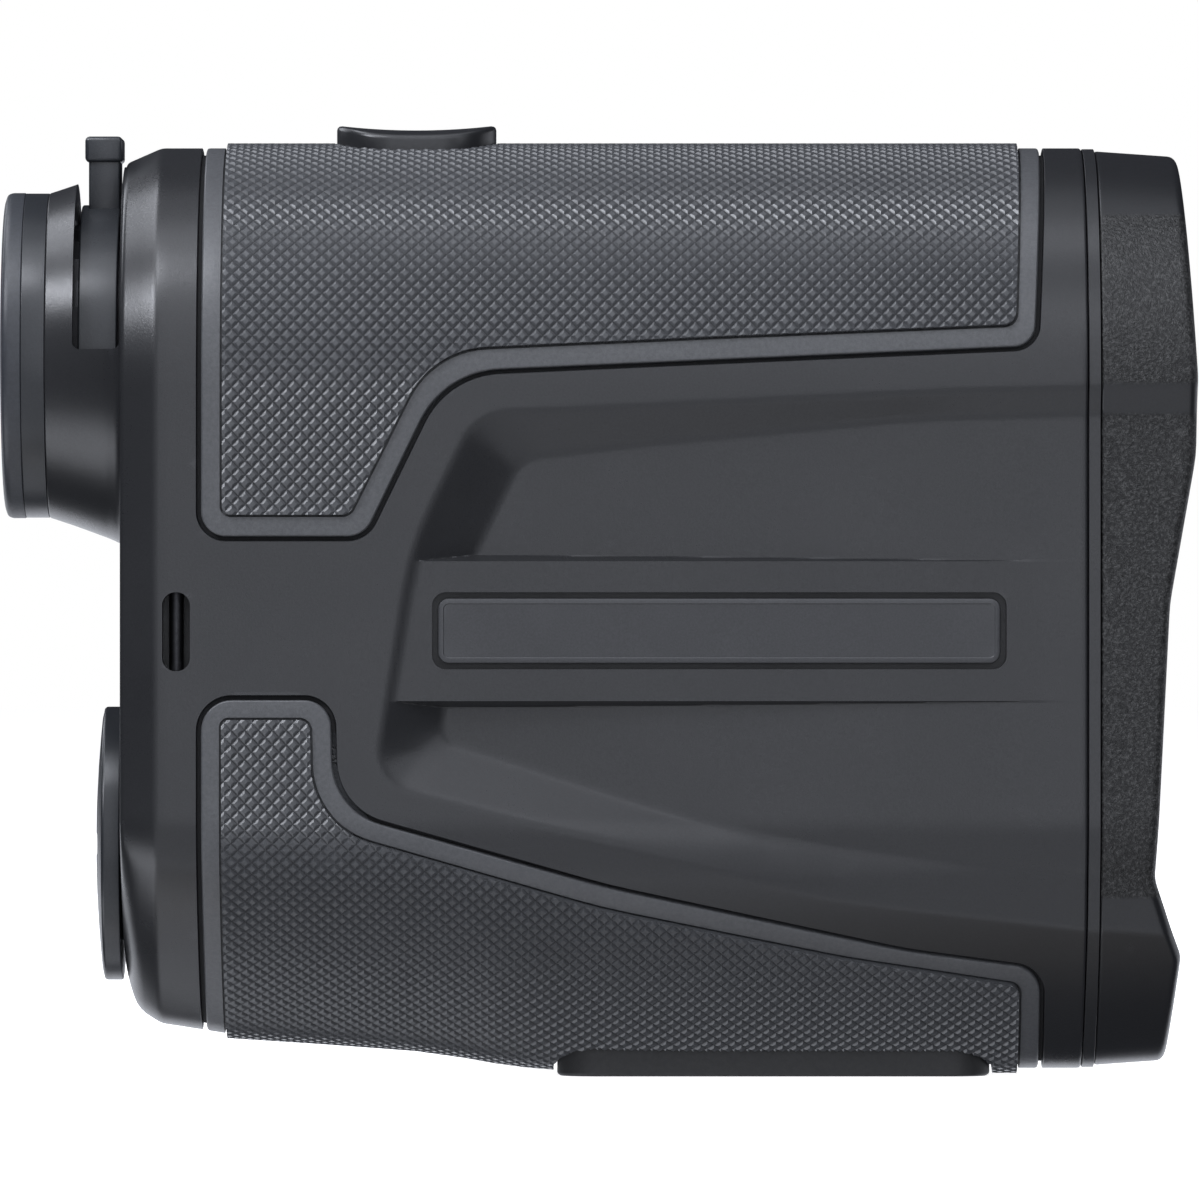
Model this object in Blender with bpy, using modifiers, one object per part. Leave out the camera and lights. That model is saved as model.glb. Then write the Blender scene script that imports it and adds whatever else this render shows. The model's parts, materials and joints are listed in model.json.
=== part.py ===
"""Pocket laser rangefinder, a 6x32 monocular held upright in one hand.

Units are metres, +Z is up and the objective looks along +X. The origin is the middle of the
underside, so the moulded foot stands on Z = 0. Every physical piece is its own object, and each
moving piece has its origin on the axis that it turns about or slides along.
"""
import math

import bmesh
import bpy
from mathutils import Matrix, Vector

MM = 0.001
GAP = 0.3 * MM                       # clearance between pieces that touch
FAR = 60 * MM                        # past every wall, for cutters that run right through

# ---------------------------------------------------------------- driving dimensions
# Body section: a half circle above, flat sides, and an egg-shaped underside of three arcs.
BODY_RADIUS = 20.4 * MM
TOP_AXIS_Z = 56.9 * MM               # centre of the upper half circle, and the objective's axis
SIDE_FOOT_Z = 22.0 * MM              # the flat side ends here
BODY_FLOOR_Z = 0.54 * MM             # underside of the body in front
FLANK_RADIUS = 12.0 * MM             # first arc under the flat side
FLANK_TURN = math.radians(30)        # how far round it has turned where the middle arc starts
KEEL_TURN = math.radians(58)         # how far round where the last arc starts

# Body length: the rear face, the joint with the front bezel and the bezel's own rear face.
REAR_X = -39.2 * MM
HOUSING_FRONT_X = 40.35 * MM
GASKET_X = (40.65 * MM, 41.15 * MM)
BEZEL_REAR_X = 41.45 * MM
BEZEL_FRONT_X = 52.0 * MM            # blank length, before the wave is cut

# The underside climbs towards the rear: (X, height of the underside).
UNDERSIDE = [(8, 0.54), (-3.5, 0.8), (-8.6, 1.35), (-15.1, 2.4), (-31, 3.45), (-35.5, 4.17),
             (-37.6, 4.45), (-38.47, 5.1), (-38.8, 6.0), (-39.2, 7.4)]
# A chamfer runs round the rear edge: (distance from the rear face, drop of the surface).
REAR_CHAMFER = [(0, 1.55), (0.25, 1.17), (2.6, 0.14), (3.0, 0)]

# Layers, as depth below the body's outer surface.
ARMOUR_FIELD_RISE = 0.42 * MM        # the gripping field stands proud of the body
ARMOUR_DEPTH = 1.2 * MM              # thickness of the rubber below the surface
ARMOUR_SEAT = ARMOUR_DEPTH + GAP
ARMOUR_GROOVE = 0.36 * MM            # open groove round each rubber panel
WALL_INSIDE = 3.2 * MM               # inner face of the housing wall

# Eyepiece, on its own axis a little above the objective's.
EYE_Z = 60.0 * MM
EYE_AXIS = (0, 0, EYE_Z)
BOSS_REAR_X = -45.6 * MM
# The boss flares towards the body: (radius, X). The lever's head passes over its last part.
BOSS_FLARE = [(13.2, -45.6), (13.6, -45.2), (14.2, -43.6), (15.7, -39.8), (15.75, -39.25),
              (16.6, -39.2), (16.6, -38.0)]
BOSS_BORE = 12.86 * MM
BOSS_BORE_END = -38.7 * MM
DIOPTER_X = (-42.9 * MM, -39.65 * MM)
DIOPTER_BORE = 11.2 * MM
DIOPTER_RADIUS = 12.56 * MM
DIOPTER_SLOT_X = (-43.5 * MM, -39.35 * MM)
LEVER_NECK_X = (-42.3 * MM, -39.7 * MM)
LEVER_HEAD_X = (-42.6 * MM, -39.5 * MM)
LEVER_HEAD = (16.05 * MM, 18.2 * MM)           # from the eyepiece axis
LEVER_HALF_WIDTH = (3.0 * MM, 3.4 * MM)        # neck, head
BARREL_RADIUS = 10.9 * MM
BARREL_BORE = 10.0 * MM
BARREL_X = (-48.3 * MM, -33.9 * MM)
FLANGE_X = (-36.2 * MM, -34.2 * MM)
FLANGE_SCREW_RADIUS = 15.0 * MM
FLANGE_SCREW_ANGLES = [math.radians(angle) for angle in (200, 270, 340)]
CELL_RADIUS = BARREL_BORE - GAP
CAM_X = -41.4 * MM                   # plane of the cam pin
CAM_ANGLE = math.radians(60)         # the ring turns this far each way
CAM_TRAVEL = 1.2 * MM                # and moves the ocular this far each way
CAM_PIN_RADIUS = 0.8 * MM
EYECUP_X = (-49.3 * MM, -45.9 * MM)
EYECUP_RADIUS = 13.57 * MM
EYECUP_GUIDE_X = (-48.4 * MM, -43.5 * MM)
EYECUP_SEAM_X = -47.6 * MM           # where the soft rim ends on the sleeve

# Battery compartment.
BATTERY_Z = 19.3 * MM
BATTERY_AXIS = (0, 0, BATTERY_Z)
BATTERY_RADIUS = 7.8 * MM
BATTERY_X = (-34.6 * MM, -7.6 * MM)
CAP_RADIUS = 11.4 * MM
CAP_X = (-41.72 * MM, -39.5 * MM)
# The cap's shallow dome: (radius, distance in front of its rear-most point).
CAP_DOME = [(0, 0), (6.5, 0.1), (11.1, 0.6), (11.4, 0.85)]

# Lenses behind the bezel.
RECEIVER_Z = 19.7 * MM
RECEIVER_BORE = 9.7 * MM

# Controls.
TRIGGER_X = -15.03 * MM
TRIGGER_SIZE = (13.3 * MM, 9.4 * MM)
TRIGGER_TOP_Z = 79.2 * MM
MODE_X = -25.4 * MM
MODE_Z = 38.1 * MM
MODE_RADIUS = 3.4 * MM

# Outlines on the side of the body: corners (X, Z, radius of the corner), in millimetres.
UPPER_ARMOUR = [(-32.85, 82, 0), (-32.85, 44.46, 2.4), (-18.85, 44.46, 2.6),
                (-12.25, 58.0, 7.2), (10, 59.0, 120), (36.3, 60.15, 2.2), (37.4, 82, 0)]
UPPER_FIELD = [(-30.76, 82, 0), (-30.76, 46.6, 0.7), (-20.3, 46.6, 1.0),
               (-13.5, 60.15, 7.6), (10, 61.2, 120), (34.4, 62.2, 1.0), (35.2, 82, 0)]
LOWER_ARMOUR = [(-32.85, -5, 0), (-32.85, 31.74, 2.9), (-21.5, 31.74, 2.6), (-21.25, 22.5, 5.2),
                (1.0, 16.15, 60), (25.5, 10.85, 40), (36.95, 9.3, 2.7), (37.25, -5, 0)]
LOWER_FIELD = [(-30.82, -5, 0), (-30.82, 29.75, 0.6), (-23.55, 29.75, 0.9), (-23.4, 21.1, 6.8),
               (0.3, 14.2, 60), (20.25, 10.1, 60), (34.9, 7.85, 0.9), (35.1, -5, 0)]
RELIEF_RIM = [(54, 57.5, 0), (30, 56.85, 90), (0, 55.4, 90), (-9.9, 55.05, 4.4),
              (-15.3, 44.1, 26), (-18.3, 24.7, 3.4), (19, 15.1, 60), (54, 10.8, 0)]
RELIEF_FLOOR = [(54, 55.2, 0), (26, 54.45, 60), (4, 52.4, 60), (-6.1, 51.2, 2.8),
                (-10.4, 42.4, 12), (-12.9, 28.1, 1.6), (14, 19.5, 60), (54, 14.6, 0)]
RIB_CREST = [(-24, 42.78, 0), (-24, 31.3, 0), (60, 31.3, 0), (60, 42.78, 0)]
RIB_ROOT = [(-24, 43.95, 0), (-24, 30.1, 0), (60, 30.1, 0), (60, 43.95, 0)]
# The bezel's front edge seen from the side: two lobes, one for each lens.
BEZEL_WAVE = [(47.9, 85, 0), (49.42, 58.2, 15), (49.3, 51.5, 12), (47.15, 39.3, 14),
              (45.95, 15.4, 3.0), (48.25, 9.2, 2.2), (46.7, -6, 0)]
RELIEF_DEPTH = (2.15 * MM, 1.2 * MM)           # rear, front
RIB_DEPTH = (0.3 * MM, 1.25 * MM)              # rear, front
RELIEF_SPAN = (-15.0 * MM, 38.0 * MM)          # where those depths are reached

# Bare plate let into the rib on each side.
PLATE_X = (-13.03 * MM, 33.18 * MM)
PLATE_Z = (34.41 * MM, 39.74 * MM)
PLATE_GROOVE = 0.5 * MM
PLATE_THICKNESS = 0.8 * MM

# Slot and pin for a wrist strap.
STRAP_X = (-35.68 * MM, -33.39 * MM)
STRAP_Z = (33.75 * MM, 40.24 * MM)
STRAP_PIN_RADIUS = 0.6 * MM
STRAP_PIN_FOOT = (sum(STRAP_X) / 2, -(BODY_RADIUS - 1.4 * MM), 0)

# Screws of the main board, as (X, Z) on the left wall's studs.
BOARD_SCREWS = [(18 * MM, 39.5 * MM), (-6 * MM, 33 * MM), (12 * MM, 21.5 * MM)]

# The foot under the body.
FOOT_X = (-3.3 * MM, 32.7 * MM)
FOOT_HALF_WIDTH = 5.8 * MM


# ---------------------------------------------------------------- scene and materials
def clear_scene():
    for thing in list(bpy.data.objects):
        bpy.data.objects.remove(thing, do_unlink=True)


def new_collection(name, hidden=False):
    made = bpy.data.collections.new(name)
    bpy.context.scene.collection.children.link(made)
    made.hide_render = hidden
    return made


def material(name, colour, roughness, metallic=0.0, transmission=0.0):
    made = bpy.data.materials.new(name)
    made.use_nodes = True
    shader = made.node_tree.nodes["Principled BSDF"]
    shader.inputs["Base Color"].default_value = (*colour, 1.0)
    shader.inputs["Roughness"].default_value = roughness
    shader.inputs["Metallic"].default_value = metallic
    shader.inputs["Transmission Weight"].default_value = transmission
    made.diffuse_color = (*colour, 1.0)
    return made


clear_scene()
PARTS = new_collection("laser_rangefinder")
CUTTERS = new_collection("cutters", hidden=True)

SHELL = material("moulded_shell", (0.055, 0.058, 0.063), 0.42)
BEZEL = material("textured_bezel", (0.040, 0.042, 0.046), 0.62)
RUBBER = material("armour_rubber", (0.028, 0.029, 0.031), 0.72)
FOOT_RUBBER = material("foot_rubber", (0.022, 0.023, 0.024), 0.80)
EYECUP_RUBBER = material("eyecup_rubber", (0.060, 0.066, 0.078), 0.66)
SOFT_SEAL = material("seal_rubber", (0.012, 0.012, 0.012), 0.60)
PLATE_FILM = material("satin_plate", (0.070, 0.072, 0.076), 0.34)
BLACK_METAL = material("black_anodised", (0.020, 0.020, 0.022), 0.38, 0.9)
STEEL = material("steel", (0.55, 0.55, 0.56), 0.30, 1.0)
GLASS = material("coated_glass", (0.62, 0.70, 0.78), 0.03, 0.0, 0.9)
BOARD = material("circuit_board", (0.020, 0.120, 0.060), 0.45)
CHIP = material("chip_resin", (0.030, 0.030, 0.032), 0.50)
BRASS = material("brass", (0.72, 0.52, 0.22), 0.30, 1.0)
WRAP = material("battery_wrap", (0.10, 0.16, 0.30), 0.40)
MATT_BLACK = material("matt_black", (0.012, 0.012, 0.013), 0.85)
MATT_METAL = material("matt_black_metal", (0.014, 0.014, 0.015), 0.80, 0.6)


# ---------------------------------------------------------------- geometry helpers
def place(mesh, name, finish=None):
    """An object in the parts collection, or a hidden cutter when it has no finish."""
    thing = bpy.data.objects.new(name, mesh)
    if finish is None:
        CUTTERS.objects.link(thing)
        thing.hide_render = True
        thing.display_type = "WIRE"
    else:
        PARTS.objects.link(thing)
        thing.data.materials.append(finish)
    return thing


def smooth(thing, degrees=20):
    thing.data.shade_smooth()
    thing.data.set_sharp_from_angle(angle=math.radians(degrees))


def boolean(target, cutter, operation="DIFFERENCE", solver="EXACT"):
    step = target.modifiers.new(f"{operation.lower()}_{cutter.name}"[:60], "BOOLEAN")
    step.operation = operation
    step.object = cutter
    step.solver = solver
    return target


def round_corners(corners, step=math.radians(18), unit=MM, pieces=None):
    """A closed outline through (a, b, radius) corners, with each corner turned into an arc."""
    outline = []
    count = len(corners)
    for index, (a, b, radius) in enumerate(corners):
        here = Vector((a, b))
        back = (Vector(corners[index - 1][:2]) - here).normalized()
        ahead = (Vector(corners[(index + 1) % count][:2]) - here).normalized()
        turn = math.pi - back.angle(ahead)
        if radius == 0 or turn < 1e-4:
            outline.append(here * unit)
            continue
        tangent = radius * math.tan(turn / 2)
        centre = here + (back + ahead).normalized() * (radius / math.cos(turn / 2))
        start = here + back * tangent - centre
        side = 1.0 if back.x * ahead.y - back.y * ahead.x < 0 else -1.0
        bends = pieces or max(1, math.ceil(turn / step))
        for bend in range(bends + 1):
            spin = Matrix.Rotation(side * turn * bend / bends, 2)
            outline.append((centre + spin @ start) * unit)
    return outline


def box_corners(low, high, radius):
    return [(low[0], low[1], radius), (high[0], low[1], radius),
            (high[0], high[1], radius), (low[0], high[1], radius)]


def outline_mesh(name, outline, depth):
    """A welded flat solid from an outline in local XY, as thick as depth along local Z."""
    curve = bpy.data.curves.new(name, "CURVE")
    curve.dimensions = "2D"
    curve.fill_mode = "BOTH"
    curve.extrude = depth / 2
    spline = curve.splines.new("POLY")
    spline.points.add(len(outline) - 1)
    for point, corner in zip(spline.points, outline):
        point.co = (corner[0], corner[1], 0, 1)
    spline.use_cyclic_u = True
    holder = bpy.data.objects.new(name, curve)
    CUTTERS.objects.link(holder)
    bpy.context.view_layer.update()
    graph = bpy.context.evaluated_depsgraph_get()
    mesh = bpy.data.meshes.new_from_object(holder.evaluated_get(graph))
    bpy.data.objects.remove(holder, do_unlink=True)
    shape = bmesh.new()
    shape.from_mesh(mesh)
    bmesh.ops.remove_doubles(shape, verts=shape.verts, dist=1e-7)
    bmesh.ops.dissolve_limit(shape, angle_limit=1e-3, verts=shape.verts, edges=shape.edges)
    bmesh.ops.recalc_face_normals(shape, faces=shape.faces)
    shape.to_mesh(mesh)
    shape.free()
    mesh.name = name
    return mesh


def side_prism(name, outline, y_from, y_to, finish=None):
    """A prism along Y from an outline in XZ."""
    mesh = outline_mesh(name, outline, abs(y_to - y_from))
    mesh.transform(Matrix.Rotation(math.pi / 2, 4, "X"))
    mesh.transform(Matrix.Translation((0, (y_from + y_to) / 2, 0)))
    return place(mesh, name, finish)


def top_prism(name, outline, z_from, z_to, finish=None):
    """A prism along Z from an outline in XY."""
    mesh = outline_mesh(name, outline, abs(z_to - z_from))
    mesh.transform(Matrix.Translation((0, 0, (z_from + z_to) / 2)))
    return place(mesh, name, finish)


def block(name, low, high, finish=None, bevel=0.0):
    """A box between two corners, with its edges broken if a bevel width is given."""
    low = Vector(low)
    high = Vector(high)
    shape = bmesh.new()
    bmesh.ops.create_cube(shape, size=1.0)
    bmesh.ops.scale(shape, vec=high - low, verts=shape.verts)
    bmesh.ops.translate(shape, vec=(high + low) / 2, verts=shape.verts)
    if bevel:
        bmesh.ops.bevel(shape, geom=shape.edges[:], offset=bevel, segments=1, affect="EDGES")
    mesh = bpy.data.meshes.new(name)
    shape.to_mesh(mesh)
    shape.free()
    return place(mesh, name, finish)


AIM = {
    "X": Matrix.Rotation(math.pi / 2, 4, "Y"),
    "Y": Matrix.Rotation(-math.pi / 2, 4, "X"),
    "Z": Matrix.Identity(4),
}


TURNS_MADE = []                      # one entry for each turned piece so far


def turned(name, profile, centre, finish=None, aim="X", steps=40):
    """A turned piece. The profile is (radius, distance along the axis from the centre).

    Each piece starts its facets at its own angle, so that no two pieces on one axis share edges.
    """
    TURNS_MADE.append(name)
    share = (len(TURNS_MADE) * 0.618) % 1.0
    spin = Matrix.Rotation(2 * math.pi / steps * (0.1 + 0.8 * share), 4, "Z")
    area = sum(a[0] * b[1] - b[0] * a[1] for a, b in zip(profile, profile[1:] + profile[:1]))
    points = profile if area < 0 else profile[::-1]
    solid = points[0][0] == 0 and points[-1][0] == 0
    if not solid:
        zero = [index for index, point in enumerate(points) if point[0] == 0]
        if len(zero) == 2:
            start = zero[1]
            points = points[start:] + points[:start]
            solid = True
    shape = bmesh.new()
    ring = [shape.verts.new((radius, 0, along)) for radius, along in points]
    for first, second in zip(ring, ring[1:]):
        shape.edges.new((first, second))
    if not solid:
        shape.edges.new((ring[-1], ring[0]))
    mesh = bpy.data.meshes.new(name)
    shape.to_mesh(mesh)
    shape.free()
    thing = place(mesh, name, finish)
    thing.matrix_world = Matrix.Translation(centre) @ AIM[aim] @ spin
    screw = thing.modifiers.new("turn", "SCREW")
    screw.steps = steps
    screw.render_steps = steps
    screw.use_merge_vertices = True
    screw.merge_threshold = 1e-5
    screw.use_smooth_shade = True
    return thing


def tube_profile(inner, outer, start, end, edge=0.0):
    """A ring from start to end along its axis, with the outer edges broken."""
    if edge == 0:
        return [(inner, start), (outer, start), (outer, end), (inner, end)]
    return [(inner, start), (outer - edge, start), (outer, start + edge),
            (outer, end - edge), (outer - edge, end), (inner, end)]


def rod_profile(radius, start, end, edge=0.0):
    """A solid rod from start to end along its axis, with its edges broken."""
    if edge == 0:
        return [(0, start), (radius, start), (radius, end), (0, end)]
    return [(0, start), (radius - edge, start), (radius, start + edge),
            (radius, end - edge), (radius - edge, end), (0, end)]


def loft(name, rings, finish=None):
    """A solid through rings of the same number of points, closed by a flat face at each end."""
    shape = bmesh.new()
    made = [[shape.verts.new(point) for point in ring] for ring in rings]
    count = len(made[0])
    for low, high in zip(made, made[1:]):
        for index in range(count):
            after = (index + 1) % count
            shape.faces.new((low[index], low[after], high[after], high[index]))
    shape.faces.new(made[0])
    shape.faces.new(made[-1])
    bmesh.ops.recalc_face_normals(shape, faces=shape.faces)
    mesh = bpy.data.meshes.new(name)
    shape.to_mesh(mesh)
    shape.free()
    return place(mesh, name, finish)


# ---------------------------------------------------------------- the body's section and lofts
def keel_radii():
    """Radii of the two lower arcs that bring the section from the flat side to the keel."""
    width = BODY_RADIUS - FLANK_RADIUS * (1 - math.cos(FLANK_TURN))
    height = SIDE_FOOT_Z - BODY_FLOOR_Z - FLANK_RADIUS * math.sin(FLANK_TURN)
    middle_width = math.cos(FLANK_TURN) - math.cos(KEEL_TURN)
    middle_height = math.sin(KEEL_TURN) - math.sin(FLANK_TURN)
    last_width = math.cos(KEEL_TURN)
    last_height = 1 - math.sin(KEEL_TURN)
    keel = (middle_height * width - middle_width * height) / (
        middle_height * last_width - middle_width * last_height)
    middle = (height - last_height * keel) / middle_height
    return middle, keel


MIDDLE_RADIUS, KEEL_RADIUS = keel_radii()


def arc_samples(start, end, count):
    return [start + (end - start) * index / count for index in range(1, count + 1)]


def half_section():
    """Points and outward normals of the right half, from the top round to the keel."""
    points = []
    for angle in [math.pi / 2] + arc_samples(math.pi / 2, 0, 8):
        normal = Vector((math.cos(angle), math.sin(angle)))
        points.append((normal * BODY_RADIUS + Vector((0, TOP_AXIS_Z)), normal))
    points.append((Vector((BODY_RADIUS, (TOP_AXIS_Z + SIDE_FOOT_Z) / 2)), Vector((1, 0))))
    centre = Vector((BODY_RADIUS - FLANK_RADIUS, SIDE_FOOT_Z))
    start = 0.0
    for radius, end, count in ((FLANK_RADIUS, FLANK_TURN, 2), (MIDDLE_RADIUS, KEEL_TURN, 3),
                               (KEEL_RADIUS, math.pi / 2, 2)):
        if start > 0:
            outward = Vector((math.cos(start), -math.sin(start)))
            centre = points[-1][0] - outward * radius
        else:
            points.append((Vector((BODY_RADIUS, SIDE_FOOT_Z)), Vector((1, 0))))
        for turn in arc_samples(start, end, count):
            normal = Vector((math.cos(turn), -math.sin(turn)))
            points.append((centre + normal * radius, normal))
        start = end
    return points


HALF_SECTION = half_section()
# Hidden faces do with fewer corners, taken from the same section.
COARSE_HALF = HALF_SECTION[::2] + HALF_SECTION[-1:]


def follow(table, x):
    """Straight-line reading of a table of (position, value), in millimetres."""
    table = sorted(table)
    if x <= table[0][0]:
        return table[0][1]
    for (x0, v0), (x1, v1) in zip(table, table[1:]):
        if x <= x1:
            return v0 + (v1 - v0) * (x - x0) / (x1 - x0)
    return table[-1][1]


def section(x, inset, half_points=None):
    """The closed section of the body at x, moved inwards by inset, as points in space."""
    roll = follow(REAR_CHAMFER, (x - REAR_X) / MM) * MM
    underside = follow(UNDERSIDE, x / MM) * MM
    squash = (SIDE_FOOT_Z - underside) / (SIDE_FOOT_Z - BODY_FLOOR_Z)
    half = []
    for point, normal in half_points or HALF_SECTION:
        y, z = point
        lean = normal.copy()
        if z < SIDE_FOOT_Z:
            z = SIDE_FOOT_Z - (SIDE_FOOT_Z - z) * squash
            lean.y /= squash
            lean.normalize()
        half.append((y - lean.x * (inset + roll), z - lean.y * (inset + roll)))
    right = [Vector((x, -y, z)) for y, z in half]
    left = [Vector((x, y, z)) for y, z in half[-2:0:-1]]
    return right + left


STATIONS = [REAR_X + distance * MM for distance, _ in REAR_CHAMFER] + [x * MM for x, _ in UNDERSIDE]


def body_loft(name, x_from, x_to, inset, finish=None, extra=(), coarse=False):
    """A solid with the body's section from x_from to x_to. The inset may change along X."""
    half_points = COARSE_HALF if coarse else HALF_SECTION
    depth = inset if callable(inset) else (lambda x: inset)
    inner = [x for x in STATIONS + list(extra) if x_from + GAP < x < x_to - GAP]
    stops = sorted({round(x, 6) for x in inner} | {x_from, x_to})
    return loft(name, [section(x, depth(x), half_points) for x in stops], finish)


def half_width(x, z, inset=0.0):
    """Half the body's width at a height, inset below its surface."""
    right = section(x, inset)[:len(HALF_SECTION)]
    for above, below in zip(right, right[1:]):
        if above.z >= z >= below.z and above.z > below.z:
            share = (above.z - z) / (above.z - below.z)
            return -(above.y + (below.y - above.y) * share)
    return 0.0


def grow(outline, distance):
    """The same closed outline, moved outwards by distance all round."""
    pairs = list(zip(outline, outline[1:] + outline[:1]))
    turning = sum(a[0] * b[1] - b[0] * a[1] for a, b in pairs)
    way = distance if turning > 0 else -distance
    moved = []
    for index, here in enumerate(outline):
        before = (here - outline[index - 1]).normalized()
        after = (outline[(index + 1) % len(outline)] - here).normalized()
        outward = Vector((before.y + after.y, -before.x - after.x)).normalized()
        square = max(0.3, outward.dot(Vector((before.y, -before.x))))
        moved.append(here + outward * (way / square))
    return moved


# ---------------------------------------------------------------- cutters that pieces share
def ramp(depths, span):
    """Depth as a function of X: a straight change from the rear value to the front one."""
    return lambda x: depths[0] + (depths[1] - depths[0]) * (x - span[0]) / (span[1] - span[0])


relief_depth = ramp(RELIEF_DEPTH, RELIEF_SPAN)
rib_depth = ramp(RIB_DEPTH, RELIEF_SPAN)


def panel_cutter(name, corners, depth):
    """Everything outside a given depth below the surface, within a side outline."""
    cutter = side_prism(name, round_corners(corners), -FAR, FAR)
    core = body_loft(name + "_core", REAR_X - 5 * MM, FAR, depth, coarse=True)
    return boolean(cutter, core)


def relief_cutter(side):
    """The sunk side panel: two lobes that follow the body's curve, with the rib left between."""
    sign = -1 if side == "right" else 1
    rim = round_corners(RELIEF_RIM, pieces=4)
    floor = round_corners(RELIEF_FLOOR, pieces=4)
    outside = [(x, sign * FAR / 2, z) for x, z in rim]
    edge = [(x, sign * half_width(x, z), z) for x, z in rim]
    foot = [(x, sign * half_width(x, z, relief_depth(x) + 0.15 * MM), z) for x, z in floor]
    inside = [(x, sign * 10 * MM, z) for x, z in floor]
    cutter = loft(f"relief_{side}", [outside, edge, foot, inside])
    core = body_loft(f"relief_core_{side}", REAR_X - 5 * MM, FAR, relief_depth,
                     extra=[x * MM for x in (20, 40)])
    boolean(cutter, core, solver="MANIFOLD")
    crest = [(x, sign * (BODY_RADIUS - rib_depth(x)), z) for x, z in round_corners(RIB_CREST)]
    root = [(x, sign * 16 * MM, z) for x, z in round_corners(RIB_ROOT)]
    return boolean(cutter, loft(f"rib_{side}", [crest, root]), solver="MANIFOLD")


def plate_frame(side):
    """Turns a piece modelled flat on Y = 0 to lie in the rib's sloping face."""
    sign = -1 if side == "right" else 1
    slope = math.atan2(RIB_DEPTH[1] - RIB_DEPTH[0], RELIEF_SPAN[1] - RELIEF_SPAN[0])
    face = BODY_RADIUS - RIB_DEPTH[0]
    return (Matrix.Translation((RELIEF_SPAN[0], sign * face, 0))
            @ Matrix.Rotation(-sign * slope, 4, "Z")
            @ Matrix.Translation((-RELIEF_SPAN[0], 0, 0)))


RELIEFS = {side: relief_cutter(side) for side in ("right", "left")}
UPPER_SEAT = panel_cutter("upper_seat", UPPER_ARMOUR, ARMOUR_SEAT)
LOWER_SEAT = panel_cutter("lower_seat", LOWER_ARMOUR, ARMOUR_SEAT)


def capsule(centre_x, centre_y, length, width):
    """A round-ended outline in XY, long in X."""
    a = length / 2
    b = width / 2
    corners = [(centre_x - a, centre_y - b, b * 0.98), (centre_x + a, centre_y - b, b * 0.98),
               (centre_x + a, centre_y + b, b * 0.98), (centre_x - a, centre_y + b, b * 0.98)]
    return round_corners(corners, unit=1.0)


TRIGGER_WELL = top_prism("trigger_well", capsule(TRIGGER_X, 0, TRIGGER_SIZE[0] + 2 * GAP,
                                                 TRIGGER_SIZE[1] + 2 * GAP), 69 * MM, FAR * 1.6)
MODE_WELL = turned("mode_well", rod_profile(MODE_RADIUS + GAP, 0, FAR),
                   (MODE_X, 12 * MM, MODE_Z), aim="Y", steps=20)
FOOT_OUTLINE = round_corners(box_corners((FOOT_X[0], -FOOT_HALF_WIDTH),
                                         (FOOT_X[1], FOOT_HALF_WIDTH), 3.2 * MM), unit=1.0)
FOOT_WINDOW = top_prism("foot_window", grow(FOOT_OUTLINE, GAP), -5 * MM, 8 * MM)


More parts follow.
